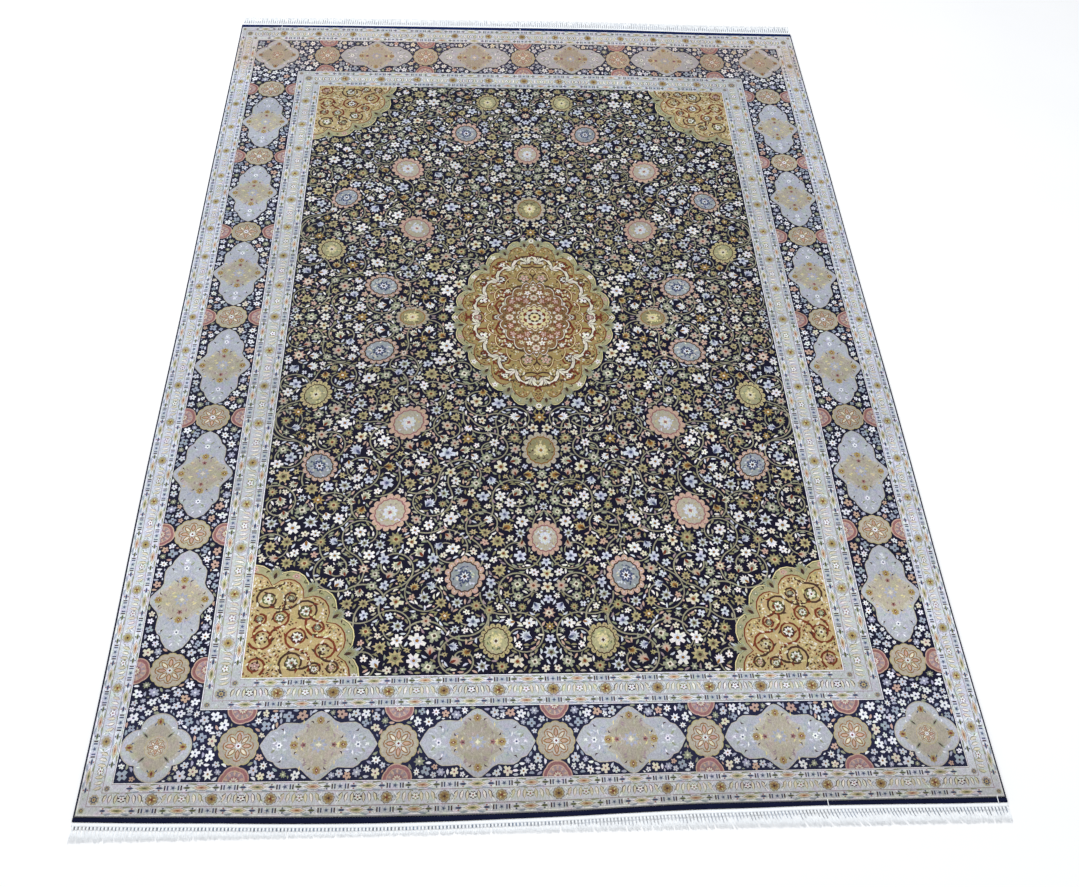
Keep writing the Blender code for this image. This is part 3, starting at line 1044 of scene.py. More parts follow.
def draw_pattern():
    """One quarter of the design. The first outline is the whole ground."""
    art = Drawing()
    rng = random.Random(PATTERN_SEED)
    art.fill(divided(rectangle(0.0)), "navy")
    draw_field(art, rng)
    draw_medallion(art, rng)
    draw_spandrel(art, rng)
    for (low, silk), (high, _) in zip(GROUNDS, GROUNDS[1:]):
        art.fill(frame_band(low, high), silk)
    draw_guards(art)
    draw_border(art, rng)
    return art
# The rug's plan, as its solids have it, in metres
PILE_WIDTH = 1.520
PILE_LENGTH = 2.130
PILE_TOP = 0.005
# Each pair of tables is for the near end and the far end. A table has shares of the
# rug's width, and the values there. These are how far the ends bow out.
BOWS = (
    (
        (0.00, 0.07, 0.14, 0.20, 0.27, 0.38, 0.45, 0.52, 0.58, 0.65, 0.72, 1.00),
        (0.0012, 0.0040, 0.0057, 0.0080, 0.0097, 0.0106, 0.0096, 0.0077, 0.0042, 0.0008, 0.0, 0.0),
    ),
    (
        (0.00, 0.09, 0.25, 0.42, 0.54, 0.66, 0.75, 0.83, 1.00),
        (0.0060, 0.0092, 0.0106, 0.0106, 0.0114, 0.0105, 0.0075, 0.0048, 0.0044),
    ),
)
# How wide the bands are
BANDS = (
    (
        (0.00, 0.10, 0.20, 0.32, 0.42, 0.52, 0.62, 0.71, 0.79, 0.86, 0.94, 1.00),
        (0.0074, 0.0087, 0.0096, 0.0100, 0.0087, 0.0080, 0.0088, 0.0088, 0.0069, 0.0071, 0.0081, 0.0081),
    ),
    (
        (0.00, 0.09, 0.20, 0.34, 0.58, 0.75, 1.00),
        (0.0142, 0.0129, 0.0136, 0.0147, 0.0153, 0.0150, 0.0143),
    ),
)
# How the fringe was combed: the sideways shift of a tip LEAN_LENGTH out from its root
LEANS = (
    (
        (0.00, 0.06, 0.30, 0.52, 0.64, 0.74, 0.84, 0.93, 1.00),
        (-0.001, -0.001, 0.000, 0.002, 0.007, 0.014, 0.018, 0.016, 0.004),
    ),
    ((0.00, 0.20, 0.50, 0.80, 1.00), (-0.001, 0.001, -0.002, 0.002, 0.001)),
)
LEAN_LENGTH = 0.033
LEAN_POWER = 1.4
# How many times longer and wider the dark threads of painted shadow are
GAP_LENGTHS = (((0.0, 0.46, 0.60, 1.0), (1.0, 1.0, 3.2, 3.2)), ((0.0, 1.0), (6.0, 6.0)))
GAP_WIDTHS = (
    ((0.0, 0.1, 0.2, 0.46, 0.60, 1.0), (0.45, 0.6, 1.0, 1.0, 0.25, 0.35)),
    ((0.0, 1.0), (0.8, 0.8)),
)
# Half the breadth in millimetres that a knot's strands spread to
FILLS = (((0.0, 0.46, 0.60, 1.0), (2.7, 2.7, 2.6, 2.6)), ((0.0, 1.0), (2.3, 2.3)))
# How fast the design straightens behind the near end's bow
NEAR_FADE = 40.0
SIDE_WANDER = 0.002
SIDE_WANDERS = 2.3
RIGHT_WANDER_LAG = 2.0
PIECE_GAP = 0.0003
CORD_WIDTH = 0.0026
CORD_HEIGHT = 0.0038
# Half the rug's width, with its cords
CORD_REACH = PILE_WIDTH / 2.0 + PIECE_GAP + CORD_WIDTH
BAND_HEIGHT = 0.0030
WEB_WIDTH = 0.0070
WEB_HEIGHT = 0.0016
# The near strands are trimmed along a line so far out from the pile's straight end
NEAR_TIPS = 0.0415
FAR_LOCK_LENGTH = 0.031

# Distances in from the edge in millimetres: as drawn, then as the left, right, near
# and far sides have them
DRAWN_INSETS = (0.0, 56.0, 172.0, 232.0)
SIDE_INSETS = ((0.0, 49.0, 168.0, 229.0), (0.0, 50.0, 169.0, 231.0))
END_INSETS = ((0.0, 51.5, 173.0, 229.5), (0.0, 61.0, 197.0, 257.0))
# How far the design's middle line strays to the right: shares of the length, metres
MIDDLE_STRAY = ((0.0, 0.5, 1.0), (0.015, 0.0075, 0.005))

MM = 0.001
RIM_ROUND = 1.8
SILK_JITTER = 0.045
JITTER_SEED = 5
SPLIT = FIELD_Y / 2.0
# The border tiles' walls: axis that they face, reach, order of the points
WALLS = {"end": (1, HALF_LENGTH, -1), "side": (0, HALF_WIDTH, 1)}
# The edge finishes: pitches in metres, depths as shares, and how round the tubes are,
# where 1 is round and less is boxier
CORD_ROUND = 0.8
STRIP_ROUND = 0.5
OVERCAST_PITCH = 0.0036
OVERCAST_DEPTH = 0.16
CORD_SIDES = 6
WEAVE_PITCH = 0.0022
WEAVE_DEPTH = 0.14
BAND_SIDES = 10
WEB_SIDES = 6
KNOTS = 259
KNOT_PITCH = (PILE_WIDTH + 2.0 * (PIECE_GAP + CORD_WIDTH)) / KNOTS
KNOT_SIDES = 6
KNOT_TWIST = 0.10
KNOT_UNEVEN = 0.12
KNOT_SEED = 11
# In millimetres: how far a knot sits off its place, and how crooked it is
KNOT_STRAY = 0.4
KNOT_BEND = 0.25
# Sections in millimetres, of a knot and of the dark thread of painted shadow between
# two knots: distances out, widths, heights
KNOT_SHAPE = ((-0.6, 0.8, 2.4, 4.0, 5.4), (2.6, 3.5, 3.7, 3.2, 2.3), (1.4, 2.4, 2.9, 2.5, 1.5))
GAP_SHAPE = ((-0.9, 0.6, 3.4, 4.4), (0.8, 2.0, 1.8, 0.6), (1.9, 2.1, 2.0, 1.4))
STRANDS = 5
STRAND_SEED = 23
STRAND_ROWS = (0.0, 0.2, 0.55, 1.0)
STRAND_WIDTH = 0.0014
STRAND_HEIGHT = 0.0008
STRAND_LIFT = 0.0007
# In millimetres: how far a strand's root is within its knot, how far tips sway, and
# how uneven their ends are
STRAND_ROOT = 0.6
STRAND_SWAY = 0.9
STRAND_TRIM = 1.6
# A strand's thickness at shares of its length
TAPER = ((0.0, 0.15, 0.8, 1.0), (0.8, 1.0, 0.95, 0.45))
# The share of the extra length, and of the width, that each dark thread of painted shadow gets
GAP_LENGTH_RANGE = (0.30, 1.08)
GAP_WIDTH_RANGE = (0.30, 1.20)
# Locks: how many knots hang together, and how far their strands draw in
LOCK_KNOTS = 3
LOCK_DRAW = 0.0009
# Stray white threads: name, end, place along X
STITCHES = (("near_a", -1, 0.459), ("near_b", -1, 0.746), ("far_a", 1, -0.654), ("far_b", 1, 0.0))
# A stray thread's path in millimetres: distances out from the pile, heights
STITCH_PATH = ((-1.6, -0.8, 0.6, 4.8, 9.0, 10.2), (4.6, 5.4, 4.3, 3.7, 3.5, 1.9))
STITCH_THICKNESS = 0.0009
BACK_COLUMNS = 49
BACK_ROWS = 65
BACK_INSET = 0.0016
BACK_THICKNESS = 0.0016

# The pile's slow ripples: height in metres, waves per metre along X and Y, phase
RIPPLES = ((0.00022, 1.1, 0.7, 0.4), (0.00018, -0.6, 1.5, 2.1), (0.00012, 2.3, -1.2, 4.0))
# The quarters: name, side of X, side of Y
QUARTERS = (
    ("far_right", 1, 1),
    ("far_left", -1, 1),
    ("near_left", -1, -1),
    ("near_right", 1, -1),
)


def curve_at(table, share):
    """Values at shares of the width, on a smooth curve through a table's values."""
    places, values = np.array(table)
    last = len(places) - 1
    share = np.clip(share, 0.0, 1.0)
    before = np.maximum(np.arange(last + 1) - 1, 0)
    after = np.minimum(np.arange(last + 1) + 1, last)
    slopes = (values[after] - values[before]) / (places[after] - places[before])
    row = np.clip(np.searchsorted(places, share) - 1, 0, last - 1)
    span = places[row + 1] - places[row]
    t = (share - places[row]) / span
    start = (2.0 * t**3 - 3.0 * t**2 + 1.0) * values[row]
    rise = (t**3 - 2.0 * t**2 + t) * span * slopes[row]
    stop = (3.0 * t**2 - 2.0 * t**3) * values[row + 1]
    return start + rise + stop + (t**3 - t**2) * span * slopes[row + 1]


def line_at(tables, end, share):
    """Values at shares of the width, on straight lines through an end's table."""
    return np.interp(share, *tables[end > 0])


def side_x(side, along):
    """Where a long side of the pile runs. The left side is -1, the right is 1."""
    share = np.clip(along, 0.0, 1.0)
    lag = RIGHT_WANDER_LAG if side > 0 else 0.0
    wander = np.sin(TAU * SIDE_WANDERS * share + lag) - math.sin(lag)
    return side * PILE_WIDTH / 2.0 + SIDE_WANDER * wander * (1.0 - share)


def end_y(end, x):
    """Where an end of the pile runs. The near end is -1, the far end is 1."""
    return end * (PILE_LENGTH / 2.0 + curve_at(BOWS[end > 0], x / PILE_WIDTH + 0.5))


def band_breadth(end, x):
    """How wide an end's band is at a place along X."""
    return curve_at(BANDS[end > 0], x / PILE_WIDTH + 0.5)


def pile_plan(x, y):
    """Moves flat points of the design to where the rug's bowed edges have them."""
    across = x / PILE_WIDTH + 0.5
    along = y / PILE_LENGTH + 0.5
    left, right = side_x(-1, along), side_x(1, along)
    near_bow = (end_y(-1, x) + PILE_LENGTH / 2.0) * (1.0 - np.clip(along, 0.0, 1.0)) ** NEAR_FADE
    far_bow = (end_y(1, x) - PILE_LENGTH / 2.0) * along
    return left + (right - left) * across, y + near_bow + far_bow


def laid(flat, side, end):
    """A quarter's drawn points in metres, where its own side and end have them."""
    moved = []
    across = (side, HALF_WIDTH, SIDE_INSETS)
    along = (end, HALF_LENGTH, END_INSETS)
    for axis, (sign, reach, insets) in enumerate((across, along)):
        inset = np.interp(reach - flat[:, axis], (*DRAWN_INSETS, reach), (*insets[sign > 0], reach))
        moved.append(sign * (reach - inset) * MM)
    x, y = moved
    room = 1.0 - np.abs(x) / (PILE_WIDTH / 2.0)
    return x + room * np.interp(y / PILE_LENGTH + 0.5, *MIDDLE_STRAY), y


def ripple(x, y):
    """Height of the pile's slow ripples."""
    height = 0.0
    for size, across, along, phase in RIPPLES:
        height = height + size * np.sin(TAU * (across * x + along * y) + phase)
    return height


def make_piece(name, points, faces, material):
    """A smooth mesh object from arrays of points and of faces."""
    mesh = bpy.data.meshes.new(name)
    mesh.from_pydata(points.tolist(), [], faces.tolist(), shade_flat=False)
    mesh.materials.append(material)
    piece = bpy.data.objects.new(name, mesh)
    bpy.context.scene.collection.objects.link(piece)
    return piece


def add_plan_map(piece, points, faces):
    """A UV map that lays the piece's plan over the unit square."""
    low, high = points[:, :2].min(0), points[:, :2].max(0)
    plan = (points[faces.ravel(), :2].astype(np.float32) - low) / (high - low)
    layer = piece.data.uv_layers.new(name="OFBake")
    layer.data.foreach_set("uv", np.ascontiguousarray(plan, np.float32).ravel())


def ring_faces(rows, sides):
    """Quads between rows of points, closed round each row."""
    row, side = np.mgrid[0 : rows - 1, 0:sides]
    following = (side + 1) % sides
    quad = [row * sides + side, (row + 1) * sides + side]
    quad += [(row + 1) * sides + following, row * sides + following]
    return np.stack(quad, -1).reshape(-1, 4)


def tubes(name, place, size, sides, material, relief=1.0, square=1.0):
    """Closed tubes along level paths.

    The place is X, Y and Z, and the size is width and height, each for (tubes, rows)
    or for what spreads to that. The relief scales each section's points, and a square
    below 1 makes the sections boxier.
    """
    paths = np.stack(np.broadcast_arrays(*place), -1)
    paths = paths.reshape(-1, *paths.shape[-2:])
    count, rows, _ = paths.shape
    widths, heights = (part * np.ones((count, rows)) for part in size)
    ahead = np.gradient(paths, axis=1)[..., :2]
    ahead /= np.linalg.norm(ahead, axis=2, keepdims=True)
    aside = np.stack([ahead[..., 1], -ahead[..., 0], np.zeros((count, rows))], -1)
    turns = TAU * (np.arange(sides) + 0.5) / sides
    circle = np.array([np.cos(turns), np.sin(turns)])
    across, up = (np.sign(part) * np.abs(part) ** square * relief for part in circle)
    points = paths[:, :, None] + aside[:, :, None] * (across * widths[..., None] / 2.0)[..., None]
    points[..., 2] += up * heights[..., None] / 2.0
    caps = np.array([(0, step, step + 1, step + 2) for step in range(1, sides - 2, 2)])
    one = np.concatenate([ring_faces(rows, sides), caps, caps[:, ::-1] + (rows - 1) * sides])
    every = one[None] + (np.arange(count) * rows * sides)[:, None, None]
    return make_piece(name, points.reshape(-1, 3), every.reshape(-1, 4), material)


def woven(rows, sides, depth, across=1):
    """A relief that is low at every other point, along a tube and across it."""
    turn = np.arange(rows)[:, None] + across * np.arange(sides)
    return 1.0 - depth * (turn % 2)


def quarter_mesh():
    """The design's quarter as a flat mesh: points, triangles, and colours by triangle."""
    art = draw_pattern()
    points = []
    outlines = []
    for outline in art.outlines:
        outlines.append(list(range(len(points), len(points) + len(outline))))
        points += outline
    cuts = [(FIELD_X, FIELD_Y), (HALF_WIDTH, HALF_LENGTH), (0.0, SPLIT), (HALF_WIDTH, SPLIT)]
    first = len(points)
    points = [Vector(point) for point in points + cuts]
    edges = [(first, first + 1), (first + 2, first + 3)]
    found = delaunay_2d_cdt(points, edges, outlines, 1, 1e-4, True)
    places = np.array(found[0])
    rng = random.Random(JITTER_SEED)
    tones = []
    for silk in art.silks:
        shade = 1.0 + rng.uniform(-SILK_JITTER, SILK_JITTER)
        tones.append([min(part * shade / 255.0, 1.0) for part in SILKS[silk]])
    triangles, tops = [], []
    for triangle, owners in zip(found[2], found[5]):
        if 0 in owners:
            triangles.append(triangle)
            tops.append(max(owners))
    return places, np.array(triangles), np.array(tones)[tops]


def quarter_tiles(places, triangles):
    """Which triangles belong to each tile of the quarter."""
    x, y = places[triangles].mean(1).T
    is_field = (x < FIELD_X) & (y < FIELD_Y)
    is_end = ~is_field & (HALF_LENGTH - y < HALF_WIDTH - x)
    is_side = ~is_field & ~is_end
    return (
        ("field_inner", is_field & (y < SPLIT)),
        ("field_outer", is_field & (y >= SPLIT)),
        ("border_end", is_end),
        ("border_side_inner", is_side & (y < SPLIT)),
        ("border_side_outer", is_side & (y >= SPLIT)),
    )


def rim_pairs(flat, axis, reach, way):
    """Pairs of neighbouring points along the outer rim of a tile."""
    on_rim = np.nonzero(np.abs(flat[:, axis] - reach) < 1e-3)[0]
    order = on_rim[np.argsort(flat[on_rim, 1 - axis])]
    return np.stack([order[:-1], order[1:]], 1)[:, ::way]


def add_pile(material):
    """The pile's top in tiles, with its rounded rim and its wall."""
    places, triangles, tones = quarter_mesh()
    pieces = []
    for tile, chosen in quarter_tiles(places, triangles):
        used, corners = np.unique(triangles[chosen], return_inverse=True)
        flat = places[used]
        inset = np.minimum(HALF_WIDTH - flat[:, 0], HALF_LENGTH - flat[:, 1])
        fall = RIM_ROUND - np.sqrt(RIM_ROUND**2 - np.clip(RIM_ROUND - inset, 0.0, RIM_ROUND) ** 2)
        wall = WALLS.get(tile.split("_")[1])
        rim = rim_pairs(flat, *wall) if wall else np.zeros((0, 2), int)
        feet = np.unique(rim)
        (a, b), (foot_a, foot_b) = rim.T, len(flat) + np.searchsorted(feet, rim.T)
        walls = np.stack([a, foot_a, foot_b, a, foot_b, b], 1).reshape(-1, 3)
        tile_faces = np.concatenate([corners.reshape(-1, 3), walls])
        colours = np.ones((len(tile_faces) * 3, 4), np.float32)
        colours[: corners.size, :3] = np.repeat(tones[chosen], 3, 0)
        colours[corners.size :, :3] = np.array(SILKS["slate"]) / 255.0
        for name, side, end in QUARTERS:
            x, y = pile_plan(*laid(flat, side, end))
            points = np.stack([x, y, PILE_TOP + ripple(x, y) - fall * MM], 1)
            points = np.concatenate([points, points[feet] * (1.0, 1.0, 0.0)])
            faces = tile_faces[:, :: side * end]
            piece = make_piece("pile_" + tile + "_" + name, points, faces, material)
            silk = piece.data.color_attributes.new("silk", "BYTE_COLOR", "CORNER")
            silk.data.foreach_set("color_srgb", colours.ravel())
            add_plan_map(piece, points, faces)
            pieces.append(piece)
    return pieces


def add_cord(side, name, material):
    """A long side's cord, overcast with yarn that winds round it."""
    rows = int(PILE_LENGTH / (OVERCAST_PITCH / 2.0)) + 1
    along = np.linspace(0.0, 1.0, rows)
    x = side_x(side, along) + side * (PIECE_GAP + CORD_WIDTH / 2.0)
    near, far = (end_y(end, side * PILE_WIDTH / 2.0) for end in (-1, 1))
    place = (x, near + (far - near) * along, CORD_HEIGHT / 2.0)
    turn = np.arange(rows)[:, None] + np.arange(CORD_SIDES) / CORD_SIDES
    relief = 1.0 - OVERCAST_DEPTH * (0.5 - 0.5 * np.cos(math.pi * turn))
    size = (CORD_WIDTH, CORD_HEIGHT)
    return tubes("overcast_" + name, place, size, CORD_SIDES, material, relief, CORD_ROUND)


def cross_path(end, pitch):
    """Places along an end of the pile and its cords, with the band's breadth there."""
    x = np.linspace(-CORD_REACH, CORD_REACH, int(2.0 * CORD_REACH / pitch) + 1)
    return x, end_y(end, x), band_breadth(end, x)


def add_band(end, name, material):
    """An end's flat-woven band, in plain weave."""
    x, y, breadth = cross_path(end, WEAVE_PITCH)
    place = (x, y + end * (PIECE_GAP + breadth / 2.0), BAND_HEIGHT / 2.0)
    relief = woven(len(x), BAND_SIDES, WEAVE_DEPTH)
    size = (breadth, BAND_HEIGHT)
    return tubes("woven_band_" + name, place, size, BAND_SIDES, material, relief, STRIP_ROUND)


def add_web(end, name, material):
    """The white web that the fringe grows from, ribbed by the warps."""
    x, y, breadth = cross_path(end, KNOT_PITCH / 2.0)
    place = (x, y + end * (2.0 * PIECE_GAP + breadth + WEB_WIDTH / 2.0), WEB_HEIGHT / 2.0)
    relief = woven(len(x), WEB_SIDES, WEAVE_DEPTH, 0)
    size = (WEB_WIDTH + 0.4 * MM, WEB_HEIGHT)
    return tubes("warp_web_" + name, place, size, WEB_SIDES, material, relief, STRIP_ROUND)


def knot_roots(end, rng):
    """Where the knots sit, and each one's share of the rug's width."""
    share = (np.arange(KNOTS) + 0.5) / KNOTS
    x = (2.0 * share - 1.0) * CORD_REACH + rng.uniform(-KNOT_STRAY, KNOT_STRAY, KNOTS) * MM
    y = end_y(end, x) + end * (2.0 * PIECE_GAP + band_breadth(end, x) + WEB_WIDTH)
    return x, y, share


def add_knots(end, name, material):
    """The row of small knots beside the web."""
    rng = np.random.RandomState(KNOT_SEED + end)
    x, y, _ = knot_roots(end, rng)
    out, width, height = np.array(KNOT_SHAPE) * MM
    size = 1.0 + rng.uniform(-KNOT_UNEVEN, KNOT_UNEVEN, (KNOTS, 1))
    x = x[:, None] + rng.uniform(-KNOT_BEND, KNOT_BEND, (KNOTS, len(out))) * MM
    height = height * size
    place = (x, y[:, None] + end * out, height / 2.0)
    twist = woven(len(out), KNOT_SIDES, KNOT_TWIST)
    return tubes("knots_" + name, place, (width * size, height), KNOT_SIDES, material, twist)


def add_painted_shadow_threads(end, name, material):
    """Dark threads of painted shadow, low down between the knots and the strands."""
    rng = np.random.RandomState(KNOT_SEED + end)
    x, y, share = knot_roots(end, rng)
    x, y = (x[:-1] + x[1:])[:, None] / 2.0, (y[:-1] + y[1:])[:, None] / 2.0
    share = ((share[:-1] + share[1:]) / 2.0)[:, None]
    out, width, height = np.array(GAP_SHAPE) * MM
    stretch = line_at(GAP_LENGTHS, end, share)
    stretch = 1.0 + (stretch - 1.0) * rng.uniform(*GAP_LENGTH_RANGE, (KNOTS - 1, 1))
    out = out * np.where(out > MM, stretch, 1.0)
    x = x + line_at(LEANS, end, share) * (np.clip(out, 0.0, 1.0) / LEAN_LENGTH) ** LEAN_POWER
    size = rng.uniform(*GAP_WIDTH_RANGE, (KNOTS - 1, 1)) * line_at(GAP_WIDTHS, end, share)
    size = (width * (size / stretch**0.85), height)
    return tubes("painted_shadow_gaps_" + name, (x, y + end * out, height / 2.0), size, 4, material)


def add_strands(end, name, material):
    """The loose strands of the fringe, lying level on the floor."""
    rng = np.random.RandomState(STRAND_SEED + end)
    x, y, share = knot_roots(end, rng)
    reach = FAR_LOCK_LENGTH if end > 0 else NEAR_TIPS + PILE_LENGTH / 2.0 - np.abs(y)
    reach = reach * np.ones(KNOTS)
    # Neighbouring knots hang together in locks, whose tips sway as one
    tip_shift = line_at(LEANS, end, share) * reach / LEAN_LENGTH
    bounds = np.cumsum(rng.randint(LOCK_KNOTS - 1, LOCK_KNOTS + 2, KNOTS))
    lock = np.searchsorted(bounds, np.arange(KNOTS), side="right")
    tip_shift += rng.uniform(-1.0, 1.0, KNOTS)[lock] * STRAND_SWAY * MM
    held = np.maximum(np.bincount(lock), 1)
    middle, half = np.bincount(lock, x) / held, held * KNOT_PITCH / 2.0
    # Each strand's knot, and its place in the knot and in the lock, from -1 to 1
    knot = np.repeat(np.arange(KNOTS), STRANDS)
    slot = np.tile(np.linspace(-1.0, 1.0, STRANDS), KNOTS)
    aside = (x[knot] + slot * KNOT_PITCH * 0.45 - middle[lock[knot]]) / half[lock[knot]]
    count = KNOTS * STRANDS
    start = KNOT_SHAPE[0][-1] * MM - STRAND_ROOT * MM
    trim = rng.uniform(-STRAND_TRIM, STRAND_TRIM, count) * MM
    length = reach[knot] - start + trim - 0.5 * MM * aside**2
    part = np.array(STRAND_ROWS)[None] * np.ones((count, 1))
    out = start + length[:, None] * part
    fill = line_at(FILLS, end, share) * MM
    fill = (fill * rng.uniform(0.82, 1.06, KNOTS))[knot, None]
    opened = np.clip((part - 0.06) * 2.6, 0.0, 1.0)
    spread = STRAND_ROOT * MM + (fill - STRAND_ROOT * MM) * opened
    draw = -LOCK_DRAW * aside[:, None] * np.clip(part - 0.25, 0.0, 1.0) * 1.3
    sway = rng.uniform(-1.0, 1.0, (count, 1)) * STRAND_SWAY * MM
    wave = sway * np.sin(rng.uniform(0.0, TAU, (count, 1)) + part * 4.5) * part
    bend = tip_shift[knot, None] * (out / reach[knot, None]) ** LEAN_POWER
    x = x[knot, None] + slot[:, None] * spread + draw + wave + bend
    taper = np.interp(part, *TAPER)
    size = (STRAND_WIDTH * taper, STRAND_HEIGHT * taper)
    lift = rng.uniform(0.0, 1.0, (count, 1)) * STRAND_LIFT * (1.0 - 0.75 * part)
    place = (x, y[knot, None] + end * out, size[1] / 2.0 + lift)
    return tubes("strands_" + name, place, size, 4, material)


def add_stitches(material):
    """White threads that cross the dark bands."""
    pieces = []
    out, height = np.array(STITCH_PATH) * MM
    for name, end, x in STITCHES:
        place = (x + np.linspace(0.0, 0.9, len(out)) * MM, end_y(end, x) + end * out, height)
        size = (STITCH_THICKNESS * 1.6, STITCH_THICKNESS)
        pieces.append(tubes("stitch_" + name, place, size, 6, material))
    return pieces


def add_foundation(material):
    """The knots' woven back, a thin closed sheet under the pile."""
    share = np.linspace(-1.0, 1.0, BACK_COLUMNS)
    rows = np.linspace(-1.0, 1.0, BACK_ROWS)
    reach = (PILE_WIDTH / 2.0 - BACK_INSET, PILE_LENGTH / 2.0 - BACK_INSET)
    x, y = np.meshgrid(share * reach[0], rows * reach[1])
    x, y = pile_plan(x.ravel(), y.ravel())
    size = x.size
    points = np.stack([np.tile(x, 2), np.tile(y, 2), np.repeat((0.0, BACK_THICKNESS), size)], 1)
    grid = np.arange(size).reshape(BACK_ROWS, BACK_COLUMNS)
    corner = grid[:-1, :-1].ravel()
    quads = np.stack([corner, corner + BACK_COLUMNS, corner + BACK_COLUMNS + 1, corner + 1], 1)
    loop = np.concatenate([grid[0], grid[1:, -1], grid[-1, -2::-1], grid[-2:0:-1, 0]])
    following = np.roll(loop, -1)
    walls = np.stack([loop, following, following + size, loop + size], 1)
    faces = np.concatenate([quads, quads[:, ::-1] + size, walls])
    piece = make_piece("woven_back", points, faces, material)
    add_plan_map(piece, points, faces)
    return piece


# Colours in linear light
NAVY_YARN = (0.0050, 0.0070, 0.026)
# A bluer navy near the far end: a painted bluish reflection on the same yarn
FAR_NAVY_PAINTED_REFLECTION = (0.0018, 0.0095, 0.060)
# A white with a faint painted blue shade
WHITE_COTTON = (0.96, 0.985, 1.0, 1.0)
# Dark cotton that paints the shadow between the knots
PAINTED_SHADOW_COTTON = (0.10, 0.135, 0.19, 1.0)
BACK_SILVER = (0.30, 0.31, 0.33)
BACK_NAVY = (0.030, 0.032, 0.085)
FLOOR_PALE = (0.95, 0.95, 0.945, 1.0)
KNOT_SIZE = 0.00125
# From the rug's middle to where the tones along its length begin and end
HALF_REACH = 1.08
# Painted light and shade from the lie of the nap: how it lightens, darkens and warms the pile from the
# near end to the far end
PAINTED_NAP_SHADING = (
    (0.00, (0.67, 0.625, 0.55)),
    (0.028, (0.74, 0.70, 0.64)),
    (0.055, (0.965, 0.955, 0.93)),
    (0.083, (0.925, 0.915, 0.89)),
    (0.10, (0.94, 0.93, 0.93)),
    (0.16, (1.0, 0.99, 0.98)),
    (0.34, (0.875, 0.875, 0.89)),
    (0.50, (0.855, 0.855, 0.87)),
    (0.88, (0.83, 0.835, 0.86)),
    (0.905, (0.845, 0.83, 0.815)),
    (0.92, (0.81, 0.70, 0.59)),
    (0.965, (0.83, 0.72, 0.61)),
    (0.975, (0.865, 0.82, 0.765)),
    (1.00, (0.86, 0.825, 0.795)),
)
# How much a painted sheen on the nap lifts the dark silks, along the same way
PAINTED_NAP_SHEEN = (
    (0.00, (0.0, 0.0, 0.0)),
    (0.035, (0.009, 0.010, 0.022)),
    (0.08, (0.009, 0.010, 0.022)),
    (0.11, (0.002, 0.001, 0.0)),
    (0.90, (0.0, 0.0, 0.0)),
    (0.925, (0.021, 0.020, 0.034)),
    (0.965, (0.021, 0.020, 0.034)),
    (0.98, (0.0, 0.0, 0.0)),
)

# Uneven dye, from lilac to green
MOTTLE_TONES = (
    (0.30, (1.05, 0.95, 1.06)),
    (0.44, (1.0, 1.0, 1.04)),
    (0.56, (1.0, 1.0, 0.98)),
    (0.70, (0.97, 1.05, 0.90)),
)

# The photograph's camera: place, focal length for a 36 mm sensor, and its axes
CAMERA_PLACE = (-0.11008, -1.61752, 1.7865)
CAMERA_LENS = 36.277
CAMERA_RIGHT = (0.99858, -0.03361, 0.04133)
CAMERA_UP = (0.00317, 0.81194, 0.58374)
CAMERA_BACK = (-0.05318, -0.58278, 0.81089)

# Soft lights: name, place, size, power, colour
LIGHTS = (
    ("window", (-2.6, 2.4, 3.0), 2.6, 87.0, (0.95, 0.98, 1.0)),
    ("overhead", (0.6, -0.4, 3.6), 3.0, 53.0, (1.0, 0.99, 0.97)),
)
WORLD_COLOUR = (0.93, 0.95, 1.0)
WORLD_STRENGTH = 0.655
FLOOR_SIZE = 16.0


